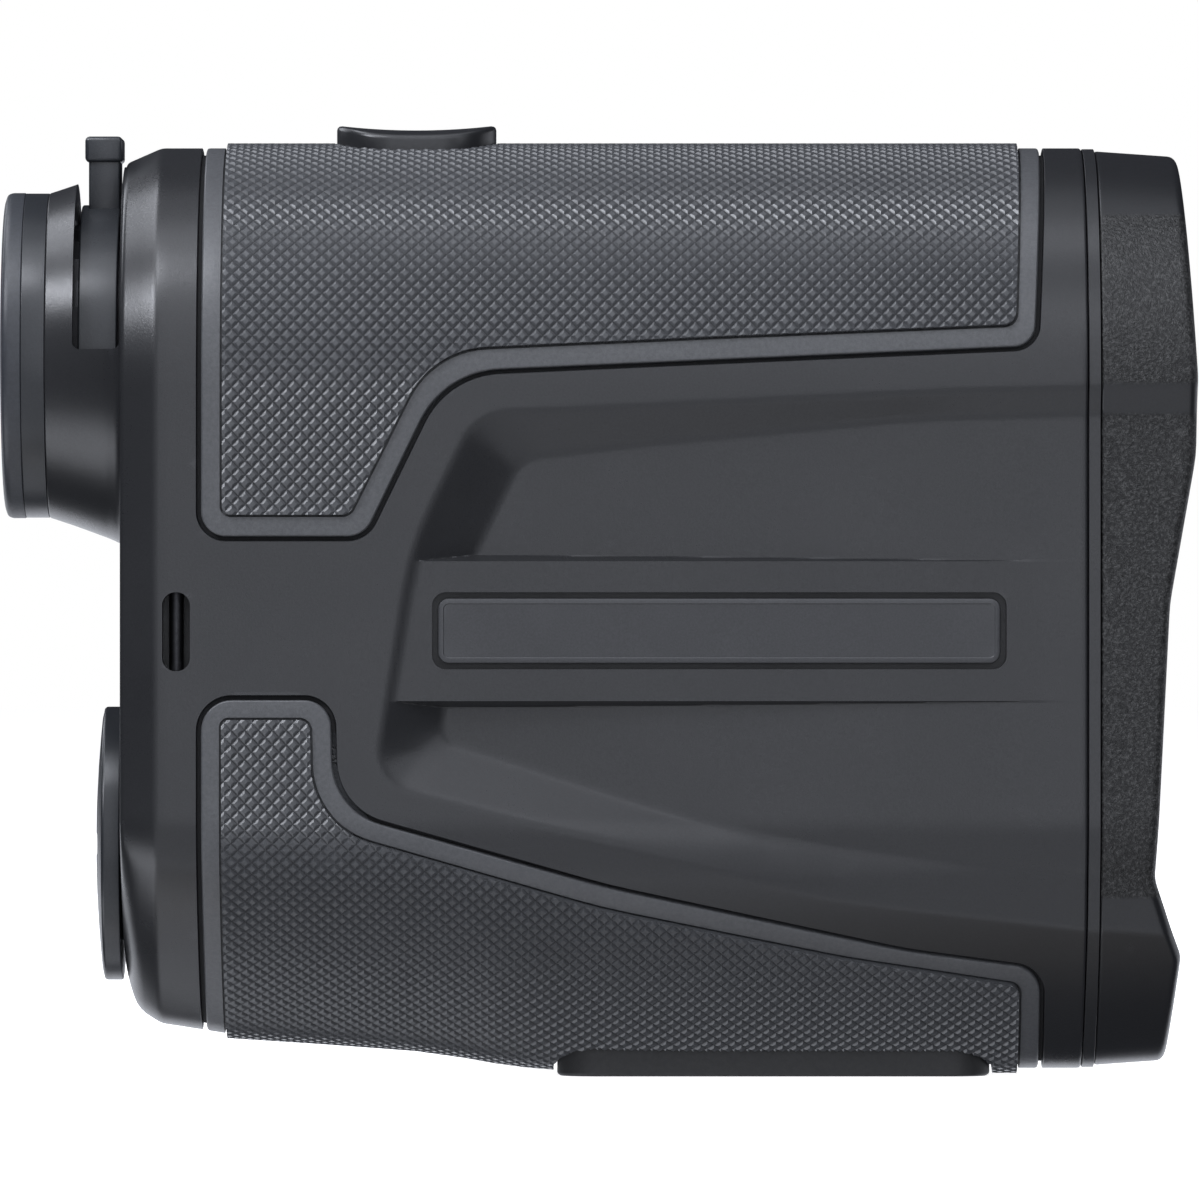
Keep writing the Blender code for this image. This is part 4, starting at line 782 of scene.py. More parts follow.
# The strap pin is blackened steel, coloured darker still as painted shade so that it reads dark inside its
# slot.
moulded("dark_pin_steel", (0.045, 0.045, 0.048), 0.42, 3200, 0.006, metallic=1.0)
moulded("circuit_green", (0.016, 0.090, 0.046), 0.42, 2500, 0.015)
moulded("chip_resin", (0.030, 0.030, 0.032), 0.55, 2500, 0.015)
moulded("contact_brass", (0.72, 0.52, 0.22), 0.30, 3200, 0.006, metallic=1.0)
moulded("battery_sleeve", (0.10, 0.16, 0.30), 0.36, 3000, 0.006, coat=0.3)
print("moulded finishes:", len(FINISHES))

# %% [markdown]
# The hood's mould is etched coarsely in two bands, so its material starts as plain plastic, and the band
# group lets the coarse grain through only there. The lens glass is slightly blue, as coated glass is.

# %% Hood and glass
ETCHED_BANDS = ((57.2, 71.6), (14.9, 55.1))
ETCH_DEPTH = 0.16 * MM


def hood_texture():
    """The hood's moulded finish: a coarse etched texture in two bands, satin plastic beside them."""
    tree, shader = moulded("hood_texture", (0.0165, 0.017, 0.0185), 0.34, 5200, 0.010, wear=0.2,
                           unevenness=0.06)
    base, rough, pits = [shader.inputs[name].links[0].from_socket
                         for name in ("Base Color", "Roughness", "Normal")]
    etched = maths(tree, "MAXIMUM", *[use_group(tree, BAND, Low=low, High=high)["Mask"]
                                      for low, high in ETCHED_BANDS])
    etch = use_group(tree, GRAIN, Scale=3400.0)
    crumbs = maths(tree, "MULTIPLY", maths(tree, "SUBTRACT", etch["Height"], 0.5), etched)
    specks = maths(tree, "POWER", etch["Tops"], 2.2)
    pepper = mix(tree, specks, (0.0015, 0.0015, 0.0015), (0.055, 0.055, 0.054))
    tree.links.new(mix(tree, etched, base, pepper), shader.inputs["Base Color"])
    tree.links.new(maths(tree, "ADD", rough, maths(tree, "MULTIPLY", etched, 0.12)),
                   shader.inputs["Roughness"])
    tree.links.new(add_bump(tree, crumbs, ETCH_DEPTH, below=pits), shader.inputs["Normal"])


def coated_glass():
    """Lens glass with an anti-reflection coating: clear straight on, a blue-violet glint at the edge."""
    tree, shader = new_material("lens_glass")
    dust = use_group(tree, MOTTLE, Scale=380.0, Contrast=2.5)["Mask"]
    tree.links.new(mix(tree, dust, (0.60, 0.66, 0.86), (0.70, 0.76, 0.90)), shader.inputs["Base Color"])
    tree.links.new(maths(tree, "MULTIPLY", dust, 0.04), shader.inputs["Roughness"])
    for name, value in (("Transmission Weight", 0.9), ("IOR", 1.52), ("Coat Weight", 0.6),
                        ("Coat Roughness", 0.03)):
        shader.inputs[name].default_value = value


hood_texture()
coated_glass()
print("finishes:", len(FINISHES))

# %% [markdown]
# ## The moulded shell
# The shell of the real product is one injection moulding. Its side carries the feature that takes most
# skill: a sunk panel with two lobes and a broad rib between them, whose depth changes from back to front.
# Cutting that with Booleans leaves hard, perfect edges, and a mould has small radii. So the side is a height
# field over two drawn lines: the rim, where the surface starts to go down, and the foot of that slope.

# %% Lines and depths of the sunk side
RELIEF_RIM = round_corners([(54, 57.5, 0), (30, 56.85, 90), (0, 55.4, 90), (-9.9, 55.05, 4.4),
                            (-15.3, 44.1, 26), (-18.3, 24.7, 3.4), (19, 15.1, 60), (54, 10.8, 0)])
RELIEF_FLOOR = round_corners([(54, 55.2, 0), (26, 54.45, 60), (4, 52.4, 60), (-6.1, 51.2, 2.8),
                              (-10.4, 42.4, 12), (-12.9, 28.1, 1.6), (14, 19.5, 60), (54, 14.6, 0)])
RIB = (31.3 * MM, 42.78 * MM)
RIB_SIDE = 1.18 * MM
RELIEF_DEPTH = (2.15 * MM, 1.2 * MM)
RIB_DEPTH = (0.3 * MM, 1.25 * MM)
DEPTH_SPAN = (-15.0 * MM, 38.0 * MM)
RELIEF_REAR, RELIEF_LOW, RELIEF_HIGH = -22 * MM, 5 * MM, 62 * MM
SIDE_TOP = 64 * MM
RIB_ROOT = 16 * MM
SHARE_SOFTNESS, RIB_SOFTNESS = 0.035, 0.06 * MM
print("relief lines:", len(RELIEF_RIM), "and", len(RELIEF_FLOOR), "points")

# %% [markdown]
# The depth of a point follows from its distance to the two lines, and a soft minimum rounds each crease. The
# rib is a second, shallower depth, and the smaller of the two wins.

# %% Depth at a point
def ramp(depths, x):
    """A depth that changes evenly along DEPTH_SPAN."""
    return depths[0] + (depths[1] - depths[0]) * (x - DEPTH_SPAN[0]) / (DEPTH_SPAN[1] - DEPTH_SPAN[0])


def soft_min(a, b, softness):
    """The smaller of two values, rounded where they are about equal."""
    return 0.5 * (a + b - np.sqrt((a - b) ** 2 + softness ** 2))


def side_depth(x, z):
    """How far the surface lies below the plain body at a point on its side."""
    flat = np.stack([x.ravel(), z.ravel()], axis=1)
    near = (flat[:, 0] > RELIEF_REAR) & (flat[:, 1] > RELIEF_LOW) & (flat[:, 1] < RELIEF_HIGH)
    depth = np.zeros(len(flat))
    rim = distance_inside(flat[near], RELIEF_RIM)
    floor = distance_inside(flat[near], RELIEF_FLOOR)
    down = rim / np.maximum(rim - floor, 1e-7)
    down = np.where(rim <= 0, np.minimum(rim / (2 * MM), 0), down)
    down = soft_min(down, 1.0, SHARE_SOFTNESS)
    down = -soft_min(-down, 0.0, SHARE_SOFTNESS)
    along, height = flat[near].T
    sunk = down * ramp(RELIEF_DEPTH, along)
    beside = np.maximum(np.maximum(RIB[0] - height, height - RIB[1]), 0)
    wall = (RADIUS - RIB_ROOT - ramp(RIB_DEPTH, along)) / RIB_SIDE
    ribbed = np.maximum(ramp(RIB_DEPTH, along), 0.0) + beside * wall
    depth[near] = soft_min(sunk, ribbed, RIB_SOFTNESS)
    return np.maximum(depth, 0).reshape(x.shape)


def sunk_side(x, s):
    """The depth at places along and round the body: nothing over the top, where the section turns."""
    return np.where(np.abs(s) > girth_at(0, SIDE_TOP), side_depth(x, skin(x, s, 0.0)[..., 2]), 0)


print("deepest at the rear:", round(side_depth(np.array([-8 * MM]), np.array([25 * MM]))[0] / MM, 2), "mm")

# %% [markdown]
# The body is a tube of rings, one ring for each place along it. The points are close together only where the
# side is sunk, which keeps the mesh small.

# %% Grid and solid
def even_steps(low, high, step):
    """Evenly spaced values from low to high, about a step apart."""
    return np.linspace(low, high, max(2, int(round((high - low) / step)) + 1))


def girth_rows(fine, coarse):
    """Distances round one half of the body, closer together where the side is sunk and at the rib."""
    top, foot = girth_at(0, 60 * MM), girth_at(0, 9 * MM)
    rows = np.concatenate([even_steps(0, top, coarse), even_steps(top, foot, fine),
                           even_steps(foot, GIRTH, coarse)])
    for line in (RIB[0] - RIB_SIDE, RIB[0], RIB[1], RIB[1] + RIB_SIDE):
        rows = np.concatenate([rows, girth_at(0, line) + np.arange(-0.5, 0.51, 0.1) * MM])
    rows = np.unique(np.round(rows, 6))
    return rows[np.concatenate([[True], np.diff(rows) > 0.04 * MM])]


def body_solid(name, stations, rows, inset, sculpted=False):
    """A solid with the body's section. Stations are (x, extra inset), rows are distances round one side."""
    round_all = np.concatenate([-rows[::-1], rows[1:-1]])
    x, s = np.meshgrid([station[0] for station in stations], round_all, indexing="ij")
    lift = -np.array([station[1] for station in stations])[:, None] - inset
    rise = np.broadcast_to(lift, x.shape).copy()
    if sculpted:
        rise -= sunk_side(x, s)
    vertices = skin(x, s, rise).reshape(-1, 3)
    return turn_outwards(mesh_object(name, vertices, tube_faces(len(stations), len(round_all))))


def plain_solid(name, start, end, grid, inset):
    """A plain length of the body's section, used to trim or to hollow out a piece."""
    return body_solid(name, [(start, 0.0), (end, 0.0)], girth_rows(grid, grid), inset)


print("rows round half of the body on a 1 mm grid:", len(girth_rows(1 * MM, 1 * MM)))

# %% Shell
FINE = 0.34 * MM
COARSE = 0.9 * MM
FINE_FROM = -20 * MM
LIP = np.array([(0.12, 0.02), (0.22, 0.10), (0.26, 0.22)]) * MM
LIP_START = FRONT_X - 0.26 * MM
rows = girth_rows(FINE, COARSE)
places = [REAR_X + step for step in sorted(set(REAR_CHAMFER[:-1, 0]) | set(UNDERSIDE[1:7, 0] - REAR_X))]
places += list(even_steps(REAR_X + REAR_CHAMFER[-1, 0], FINE_FROM, COARSE))
places += list(even_steps(FINE_FROM, LIP_START, FINE)[1:])
stations = [(x, 0.0) for x in places] + [(LIP_START + step, inset) for step, inset in LIP]
shell = body_solid("shell", stations, rows, 0.0, sculpted=True)
print("shell grid:", len(shell.data.vertices), "points")

# %% [markdown]
# ## Boss, bores and pockets
# The eyepiece stands on a turned boss that is blended into the rear face, so it is added to the shell. Then
# the shell is hollowed out and the openings are cut. A Boolean is right here, because the real mould has
# plain inserts at these places too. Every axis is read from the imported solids.

# %% Positions taken from the solids
def middle(node):
    """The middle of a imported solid's box."""
    low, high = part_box(node)
    return (low + high) / 2


EYE_Z = middle("eyecup_rubber").z
BATTERY_Z = middle("battery_cap").z
RECEIVER_Z = middle("receiver_lens").z
LENS_Z = middle("objective_lens").z
TRIGGER = middle("trigger_button")
MODE = middle("mode_button")
EYE_AXIS = (0, 0, EYE_Z)
BATTERY_AXIS = (0, 0, BATTERY_Z)
print("axes above the foot, mm:", round(EYE_Z / MM, 2), round(LENS_Z / MM, 2), round(RECEIVER_Z / MM, 2),
      round(BATTERY_Z / MM, 2))

# %% Boss
BOSS_PROFILE = [(0, -45.62), (13.50, -45.62), (13.56, -45.54), (13.70, -45.1), (14.2, -43.6), (14.6, -42.5),
                (15.3, -40.6), (15.7, -39.75), (15.9, -39.45), (16.3, -39.25), (16.9, -39.1), (16.9, -38.0),
                (0, -38.0)]
boss = turned("boss", softened(BOSS_PROFILE, 0.22), EYE_AXIS, steps=144)
trim_places = [(REAR_X - 8 * MM, 0.0), (REAR_X, 0.0), (REAR_X + 2.9 * MM, 0.0)]
boss_trim = body_solid("boss_trim", trim_places, girth_rows(1.0 * MM, 1.0 * MM), 0.02 * MM)
boss = carve(boss, boss_trim, operation="INTERSECT")
shell = carve(shell, boss, operation="UNION")
print("shell with boss:", len(shell.data.polygons), "faces")

# %% Cavity
WALL = 3.2 * MM
collar = turned("collar", [(0, -38.4), (11.9, -38.4), (11.9, -33), (0, -33)], BATTERY_AXIS)
cavity = carve(plain_solid("cavity", -36.5 * MM, 60 * MM, 3 * MM, WALL), collar)
shell = carve(shell, cavity)
print("shell with cavity:", len(shell.data.polygons), "faces")

# %% [markdown]
# The seats are drawn flat and wrapped like the panels that fill them. Each cutter is a stack of outlines:
# straight walls at the bottom, then two rings that flare out, which leave a chamfer of a tenth of a
# millimetre. That thin chamfer is what catches the light along the groove.

# %% Seats for the rubber panels
UPPER_EDGE = [(-32.85, 82, 0), (-32.85, 44.46, 2.4), (-18.85, 44.46, 2.6), (-12.25, 58.0, 7.2),
              (10, 59.0, 120), (36.3, 60.15, 2.2), (37.4, 82, 0)]
UPPER_GRIP = [(-30.76, 82, 0), (-30.76, 46.6, 0.7), (-20.3, 46.6, 1.0), (-13.5, 60.15, 7.6),
              (10, 61.2, 120), (34.4, 62.2, 1.0), (35.2, 82, 0)]
LOWER_EDGE = [(-32.85, -5, 0), (-32.85, 31.74, 2.9), (-21.5, 31.74, 2.6), (-21.25, 22.5, 5.2),
              (1.0, 16.15, 60), (25.5, 10.85, 40), (36.95, 9.3, 2.7), (37.25, -5, 0)]
LOWER_GRIP = [(-30.82, -5, 0), (-30.82, 29.75, 0.6), (-23.55, 29.75, 0.9), (-23.4, 21.1, 6.8),
              (0.3, 14.2, 60), (20.25, 10.1, 60), (34.9, 7.85, 0.9), (35.1, -5, 0)]
upper_flat, lower_flat = wrapped_outline(UPPER_EDGE, True), wrapped_outline(LOWER_EDGE, False)
print("upper panel is cut from a flat sheet of", np.round(np.ptp(upper_flat, axis=0) / MM, 1), "mm")


def stack(outline, *rings):
    """Rings for flat_solid from one outline: (how much it grows, rise) in millimetres, from the bottom up."""
    return [(grow(outline, by * MM) if by else outline, rise * MM) for by, rise in rings]


def seat_cutter(name, outline, wrap):
    """Cuts the seat of a panel, with the thin chamfer at its edge."""
    rings = stack(outline, (0, -1.5), (0, -0.16), (0.03, -0.04), (0.10, 0.03), (0.5, 1.2))
    return flat_solid(name, rings, wrap, spacing=1.4 * MM)


shell = carve(shell, seat_cutter("upper_seat", upper_flat, skin),
              seat_cutter("lower_seat", lower_flat, under_belly))
print("shell with seats:", len(shell.data.polygons), "faces")

# %% [markdown]
# Next come the bore and the slot of the diopter ring, the battery opening, the two button wells and the slot
# for the strap.

# %% Bores and slot
def rounded_box(low, high, radius):
    """A rectangle between two corners, its own corners rounded by a radius in millimetres."""
    return round_corners([(low[0] / MM, low[1] / MM, radius), (high[0] / MM, low[1] / MM, radius),
                          (high[0] / MM, high[1] / MM, radius), (low[0] / MM, high[1] / MM, radius)])


SLOT_X = (-43.3 * MM, -39.35 * MM)
eye_bore = turned("eye_bore", [(0, -48), (12.98, -48), (12.98, -45.6), (12.86, -45.45), (12.86, -38.7),
                               (0, -38.7)], EYE_AXIS, steps=144)
throat = turned("throat", [(0, -40), (11.2, -40), (11.2, -30), (0, -30)], EYE_AXIS)
battery_bore = turned("battery_bore", [(0, -45), (9.9, -45), (9.9, -37.2), (9.55, -37.2), (9.55, -30),
                                       (0, -30)], BATTERY_AXIS)
shell = carve(shell, eye_bore, throat, battery_bore)
slot_outline = rounded_box((SLOT_X[0], EYE_Z + 0.3 * MM), (SLOT_X[1], 95 * MM), 0.6)
shell = carve(shell, side_prism("diopter_slot", slot_outline, -40 * MM, 40 * MM))
print("shell with bores:", len(shell.data.polygons), "faces")

# %% Wells and strap slot
BUTTON = (13.3 * MM, 9.4 * MM)
WELL_CLEARANCE = 0.6 * MM
STRAP_X, STRAP_Z = (-35.68 * MM, -33.39 * MM), (33.75 * MM, 40.24 * MM)


def capsule(centre, length, width):
    """A slot shape along X with round ends."""
    a, b = length / 2 / MM, width / 2 / MM
    x, y = centre[0] / MM, centre[1] / MM
    return round_corners([(x - a, y - b, b * 0.98), (x + a, y - b, b * 0.98), (x + a, y + b, b * 0.98),
                          (x - a, y + b, b * 0.98)])


def trigger_well():
    """Cuts the opening of the trigger button, a little larger than the button all round."""
    length, width = (size + WELL_CLEARANCE for size in BUTTON)
    return top_prism("trigger_well", capsule((TRIGGER.x, 0), length, width), 69 * MM, 96 * MM)


mode_well = turned("mode_well", [(0, 12), (3.7, 12), (3.7, 40), (0, 40)], (MODE.x, 0, MODE.z), aim="Y")
strap_slot = side_prism("strap_slot", rounded_box((STRAP_X[0], STRAP_Z[0]), (STRAP_X[1], STRAP_Z[1]), 1.1),
                        -30 * MM, -(RADIUS - 3.0 * MM))
shell = carve(shell, trigger_well(), mode_well, strap_slot)
print("shell with wells:", len(shell.data.polygons), "faces")

# %% [markdown]
# The long plate lies in a shallow pocket in the rib. The rib's face slopes inwards towards the front, so the
# pocket and the plate are made flat on Y = 0 and then laid into that slope with one matrix for each side.

# %% Plate pockets, then the shell is complete
PLATE_X, PLATE_Z = (-13.03 * MM, 33.18 * MM), (34.41 * MM, 39.74 * MM)
PLATE_GROOVE = 0.5 * MM


def plate_frame(side):
    """Lays something made flat on Y = 0 into the slope of the rib's face."""
    sign = -1 if side == "right" else 1
    slope = math.atan2(RIB_DEPTH[1] - RIB_DEPTH[0], DEPTH_SPAN[1] - DEPTH_SPAN[0])
    return (Matrix.Translation((DEPTH_SPAN[0], sign * (RADIUS - RIB_DEPTH[0]), 0))
            @ Matrix.Rotation(-sign * slope, 4, "Z") @ Matrix.Translation((-DEPTH_SPAN[0], 0, 0)))


for side in ("right", "left"):
    outline = rounded_box((PLATE_X[0] - PLATE_GROOVE, PLATE_Z[0] - PLATE_GROOVE),
                          (PLATE_X[1] + PLATE_GROOVE, PLATE_Z[1] + PLATE_GROOVE), 1.15)
    pocket = side_prism("pocket_" + side, outline, -1.1 * MM, 1.1 * MM)
    pocket.data.transform(plate_frame(side))
    shell = carve(shell, pocket)
shell.name = "housing_shell"
piece(shell, "housing", "shell", "shell_plastic", "main_housing")
print("finished shell:", len(shell.data.polygons), "faces,", [round(v / MM, 1) for v in shell.dimensions])

# %% [markdown]
# ## Rubber armour
# Two panels of rubber sit in the seats. Each has a smooth border about 2 mm wide and, inside it, a
# field of small blunt pyramids that gives grip. A narrow groove runs round the panel, and its bottom is
# painted dark as shade by a black sheet of its own under the rubber.

# %% Borders
GROOVE = 0.36 * MM
SOFT_SHARP = 22


def groove_shade_sheet(name, outline, wrap):
    """A black sheet under the rubber: painted shade that shows as a dark line at the bottom of the groove."""
    return flat_solid(name, stack(outline, (-0.04, -1.4), (-0.04, -0.60)), wrap, spacing=1.4 * MM)


def border(name, outline, field, wrap):
    """The rubber panel itself: a soft rounded edge all round, and a shallow bed a little larger than the
    diamond field, so that a fine gap shows round the field."""
    rings = stack(grow(outline, -GROOVE), (0, -0.60), (0, -0.20), (-0.05, -0.08), (-0.13, -0.02), (-0.28, 0))
    panel = flat_solid(name, rings, wrap, spacing=1.0 * MM)
    bed = flat_solid(name + "_bed", stack(field, (0.18, -0.30), (0.18, -0.06), (0.26, 0.30)), wrap,
                     spacing=1.4 * MM)
    return carve(panel, bed, sharp=SOFT_SHARP)


upper_field, lower_field = wrapped_outline(UPPER_GRIP, True), wrapped_outline(LOWER_GRIP, False)
upper_groove_shade = groove_shade_sheet("upper_armour_groove_shade", upper_flat, skin)
lower_groove_shade = groove_shade_sheet("lower_armour_groove_shade", lower_flat, under_belly)
upper_border = border("upper_armour_border", upper_flat, upper_field, skin)
lower_border = border("lower_armour_border", lower_flat, lower_field, under_belly)
print("border faces:", len(upper_border.data.polygons) + len(lower_border.data.polygons))

# %% [markdown]
# A bump map would do for the pyramids from far away, but they show against the light along the top edge. So
# they are real: a flat lattice, trimmed to the outline of the field while it is still flat, and then wrapped
# round the body.

# %% Diamond field
PITCH = (1.136 * MM, 1.20 * MM)
TOP_SHARE = 0.46
VALLEY, CREST, BASE = 0.278 * MM, 0.42 * MM, -0.5 * MM


def diamonds(name, low, high):
    """A closed slab whose top is a lattice of flat-topped pyramids, still flat."""
    half = np.array(PITCH) / 2
    columns = int(math.ceil((high[0] - low[0]) / half[0])) + 2
    lines = int(math.ceil((high[1] - low[1]) / half[1])) + 2
    node = {}
    places = []

    def corner(i, j, rise):
        """The number of a point of the lattice, made when it is first asked for."""
        key = (i, j, rise)
        if key not in node:
            node[key] = len(places)
            places.append((low[0] + (i - 1) * half[0], low[1] + (j - 1) * half[1], rise))
        return node[key]

    faces = []
    for i in range(1, columns):
        for j in range(1 + i % 2, lines, 2):
            around = [(i - 1, j), (i, j - 1), (i + 1, j), (i, j + 1)]
            valley = [corner(a, b, VALLEY) for a, b in around]
            base = [corner(a, b, BASE) for a, b in around]
            x, v = low[0] + (i - 1) * half[0], low[1] + (j - 1) * half[1]
            top = []
            for a, b in around:
                top.append(len(places))
                places.append((x + (a - i) * half[0] * TOP_SHARE, v + (b - j) * half[1] * TOP_SHARE, CREST))
            faces.append(top)
            faces.append(base[::-1])
            for k, (step_i, step_j) in enumerate(((-1, -1), (1, -1), (1, 1), (-1, 1))):
                after = (k + 1) % 4
                faces.append((valley[k], valley[after], top[after], top[k]))
                there = (i + step_i, j + step_j)
                if not (1 <= there[0] < columns and 1 + there[0] % 2 <= there[1] < lines):
                    faces.append((valley[after], valley[k], base[k], base[after]))
    mesh = bpy.data.meshes.new(name)
    mesh.from_pydata(places, [], faces)
    mesh.validate()
    return add_object(name, mesh)


def grip(name, outline, wrap):
    """A diamond field trimmed to its outline and wrapped round the body."""
    low, high = outline.min(axis=0), outline.max(axis=0)
    slab = diamonds(name, low - PITCH[0] * 0.3, high)
    slab = carve(slab, top_prism(name + "_knife", outline, -0.3 * MM, 2 * MM), operation="INTERSECT")
    flat = np.empty(len(slab.data.vertices) * 3, np.float32)
    slab.data.vertices.foreach_get("co", flat)
    flat = flat.reshape(-1, 3).astype(float)
    slab.data.vertices.foreach_set("co", wrap(flat[:, 0], flat[:, 1], flat[:, 2]).astype(np.float32).ravel())
    turn_outwards(slab)
    slab.data.set_sharp_from_angle(angle=math.radians(SOFT_SHARP))
    slab.data.update()
    return slab


upper_grip = grip("upper_armour_grip", upper_field, skin)
lower_grip = grip("lower_armour_grip", lower_field, under_belly)
print("diamond faces:", len(upper_grip.data.polygons) + len(lower_grip.data.polygons))

# %% [markdown]
# The trigger button comes up through the upper panel and the foot stands in a window of the lower one.

# %% Openings in the armour
FOOT_LOW, FOOT_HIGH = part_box("base_pad")
foot_outline = rounded_box((FOOT_LOW.x, FOOT_LOW.y), (FOOT_HIGH.x, FOOT_HIGH.y), 3.2)
for panel in (upper_groove_shade, upper_border, upper_grip):
    carve(panel, trigger_well(), sharp=SOFT_SHARP)
for panel in (lower_groove_shade, lower_border, lower_grip):
    foot_window = top_prism("foot_window", grow(foot_outline, 0.3 * MM), -5 * MM, 8 * MM)
    carve(panel, foot_window, sharp=SOFT_SHARP)
for panels, node in (((upper_groove_shade, upper_border, upper_grip), "upper_armour"),
                     ((lower_groove_shade, lower_border, lower_grip), "lower_armour")):
    # The first of each three panels is the black sheet of painted shade at the bottom of the groove.
    for panel, finish in zip(panels, ("flat_black", "border_rubber", "grip_rubber")):
        piece(panel, "housing", "armour_rubber", finish, node)
print("diamond faces left:", len(upper_grip.data.polygons) + len(lower_grip.data.polygons))

# %% [markdown]
# ## The foot
# A flat pad under the body lets the rangefinder stand. Its lower face carries shallow ribs across, moulded
# with it, and its upper face follows the belly.

# %% Foot
FOOT_GROOVES, GROOVE_WIDTH, GROOVE_TOP, GROOVE_END = 12, 0.7, 0.35 * MM, 1.4 * MM
foot = top_prism("foot_pad", foot_outline, 0.25 * MM, 6 * MM)
core = body_solid("foot_core", [(-10 * MM, 0.0), (60 * MM, 0.0)], girth_rows(1.5 * MM, 0.8 * MM), 1.2 * MM)
foot = carve(foot, core)
sole = flat_solid("sole", stack(foot_outline, (0, 0.8), (0, 0.3), (-0.08, 0.12), (-0.3, 0)),
                  lambda x, y, z: np.stack([x, y, z], axis=-1), spacing=4 * MM)
foot = carve(foot, sole, operation="UNION")
grooves = [block("groove", (x * MM, FOOT_LOW.y + GROOVE_END, -1 * MM),
                 ((x + GROOVE_WIDTH) * MM, FOOT_HIGH.y - GROOVE_END, GROOVE_TOP), 0.1 * MM)
           for x in np.linspace(FOOT_LOW.x / MM + 3.2, FOOT_HIGH.x / MM - 4.0, FOOT_GROOVES)]
foot = carve(foot, *grooves)
piece(foot, "housing", "foot_rubber", "foot_rubber", "base_pad")
print("foot:", [round(v / MM, 2) for v in foot.dimensions], "mm")

# %% [markdown]
# ## Front hood
# The hood is a second moulding, screwed on from the front. Its edge is a wave: one lobe shades the
# objective, the other the receiver's lens. The side skin runs to that wave, rolls over a small radius, and
# the front face is then ruled straight across from the left edge to the right one. Its lips are cut last by
# two turned bores.

# %% Outline of the hood
BEZEL_REAR = 41.45 * MM
WAVE = round_corners([(47.9, 85, 0), (49.42, 58.2, 15), (49.3, 51.5, 12), (47.15, 39.3, 14),
                      (45.95, 15.4, 3.0), (48.25, 9.2, 2.2), (46.7, -6, 0), (10, -6, 0), (10, 85, 0)])
WAVE = WAVE[WAVE[:, 0] > 20 * MM]
WAVE = WAVE[np.argsort(WAVE[:, 1])]
REAR_EDGE = np.array([(0.0, 0.25), (0.05, 0.10), (0.16, 0.02), (0.3, 0.0)]) * MM
ROLL = 0.75 * MM
COLUMNS, BENDS, ACROSS = 22, 6, 14


def wave_x(z):
    """Where the hood ends at a height."""
    return np.interp(z, WAVE[:, 1], WAVE[:, 0])


def hood_inset(x):
    """The hood lies a little inside the shell's surface and tapers towards the front."""
    return 0.25 * MM + 0.07 * (x - BEZEL_REAR)


print("hood from", round(BEZEL_REAR / MM, 2), "to", round(WAVE[:, 0].max() / MM, 2), "mm")

# %% Hood
def hood_skin(round_all):
    """Points of the hood's rings, from its rear edge to the start of the front face."""
    tip = wave_x(skin(BEZEL_REAR, round_all, 0.0)[:, 2])
    edge_end = REAR_EDGE[-1, 0]
    rings = [(BEZEL_REAR + step + 0 * tip, inset + 0 * tip) for step, inset in REAR_EDGE]
    for t in np.linspace(0, 1, COLUMNS)[1:]:
        rings.append((BEZEL_REAR + edge_end + (tip - ROLL - BEZEL_REAR - edge_end) * t, 0 * tip))
    for turn in np.linspace(0, math.pi / 2, BENDS + 1)[1:]:
        rings.append((tip - ROLL + ROLL * math.sin(turn), ROLL * (1 - math.cos(turn)) + 0 * tip))
    return [skin(x, round_all, -(inset + hood_inset(x) + sunk_side(x, round_all))) for x, inset in rings]


def hood_solid(rows):
    """The hood before its bores: a skin of rings, and a front face ruled from side to side."""
    round_all = np.concatenate([-rows[::-1], rows[1:-1]])
    rings = hood_skin(round_all)
    vertices = list(np.concatenate(rings))
    faces = tube_faces(len(rings), len(round_all))[:-1]
    keel = (len(rings) - 1) * len(round_all)
    top = keel + len(rows) - 1
    lines = []
    for k in range(1, len(rows) - 1):
        a, b = np.array(vertices[top - k]), np.array(vertices[top + k])
        lines.append([top - k] + list(range(len(vertices), len(vertices) + ACROSS - 1)) + [top + k])
        vertices += [a + (b - a) * t / ACROSS for t in range(1, ACROSS)]
    for high, low in zip(lines, lines[1:]):
        faces += [(high[t], low[t], low[t + 1], high[t + 1]) for t in range(ACROSS)]
    faces += [(top, lines[0][t], lines[0][t + 1]) for t in range(ACROSS)]
    faces += [(keel, lines[-1][t + 1], lines[-1][t]) for t in range(ACROSS)]
    return turn_outwards(mesh_object("front_hood", vertices, faces))


hood = hood_solid(girth_rows(FINE, 0.6 * MM))
spigot = plain_solid("spigot", 37.6 * MM, BEZEL_REAR + 1 * MM, 2 * MM, 3.5 * MM)
spigot = carve(spigot, block("spigot_top", (0.03, -0.06, 38.6 * MM), (0.06, 0.06, 0.12)))
hood = carve(hood, spigot, operation="UNION")
print("hood before its bores:", len(hood.data.polygons), "faces")

# %% [markdown]
# Both ports widen towards the front, and fine grooves round them keep stray light off the lenses.

# %% Bores of the hood
THREAD_AT = 42.6
OBJECTIVE_AXIS, RECEIVER_AXIS = (0, 0, LENS_Z), (0, 0, RECEIVER_Z)


def port(name, wide, narrow, mouth, slope, depth, thread_end, centre, steps):
    """Cuts the bore of a front lens: a seat, then a cone with fine grooves that stop stray light."""
    grooves = [(narrow + depth * (k % 2) + slope * (x - THREAD_AT), x)
               for k, x in enumerate(np.arange(THREAD_AT + 0.3, thread_end, 0.32))]
    return turned(name, [(0, 30), (wide, 30), (wide, 41.9), (narrow, THREAD_AT)] + grooves
                  + [(mouth, 52), (0, 52)], centre, steps=steps)


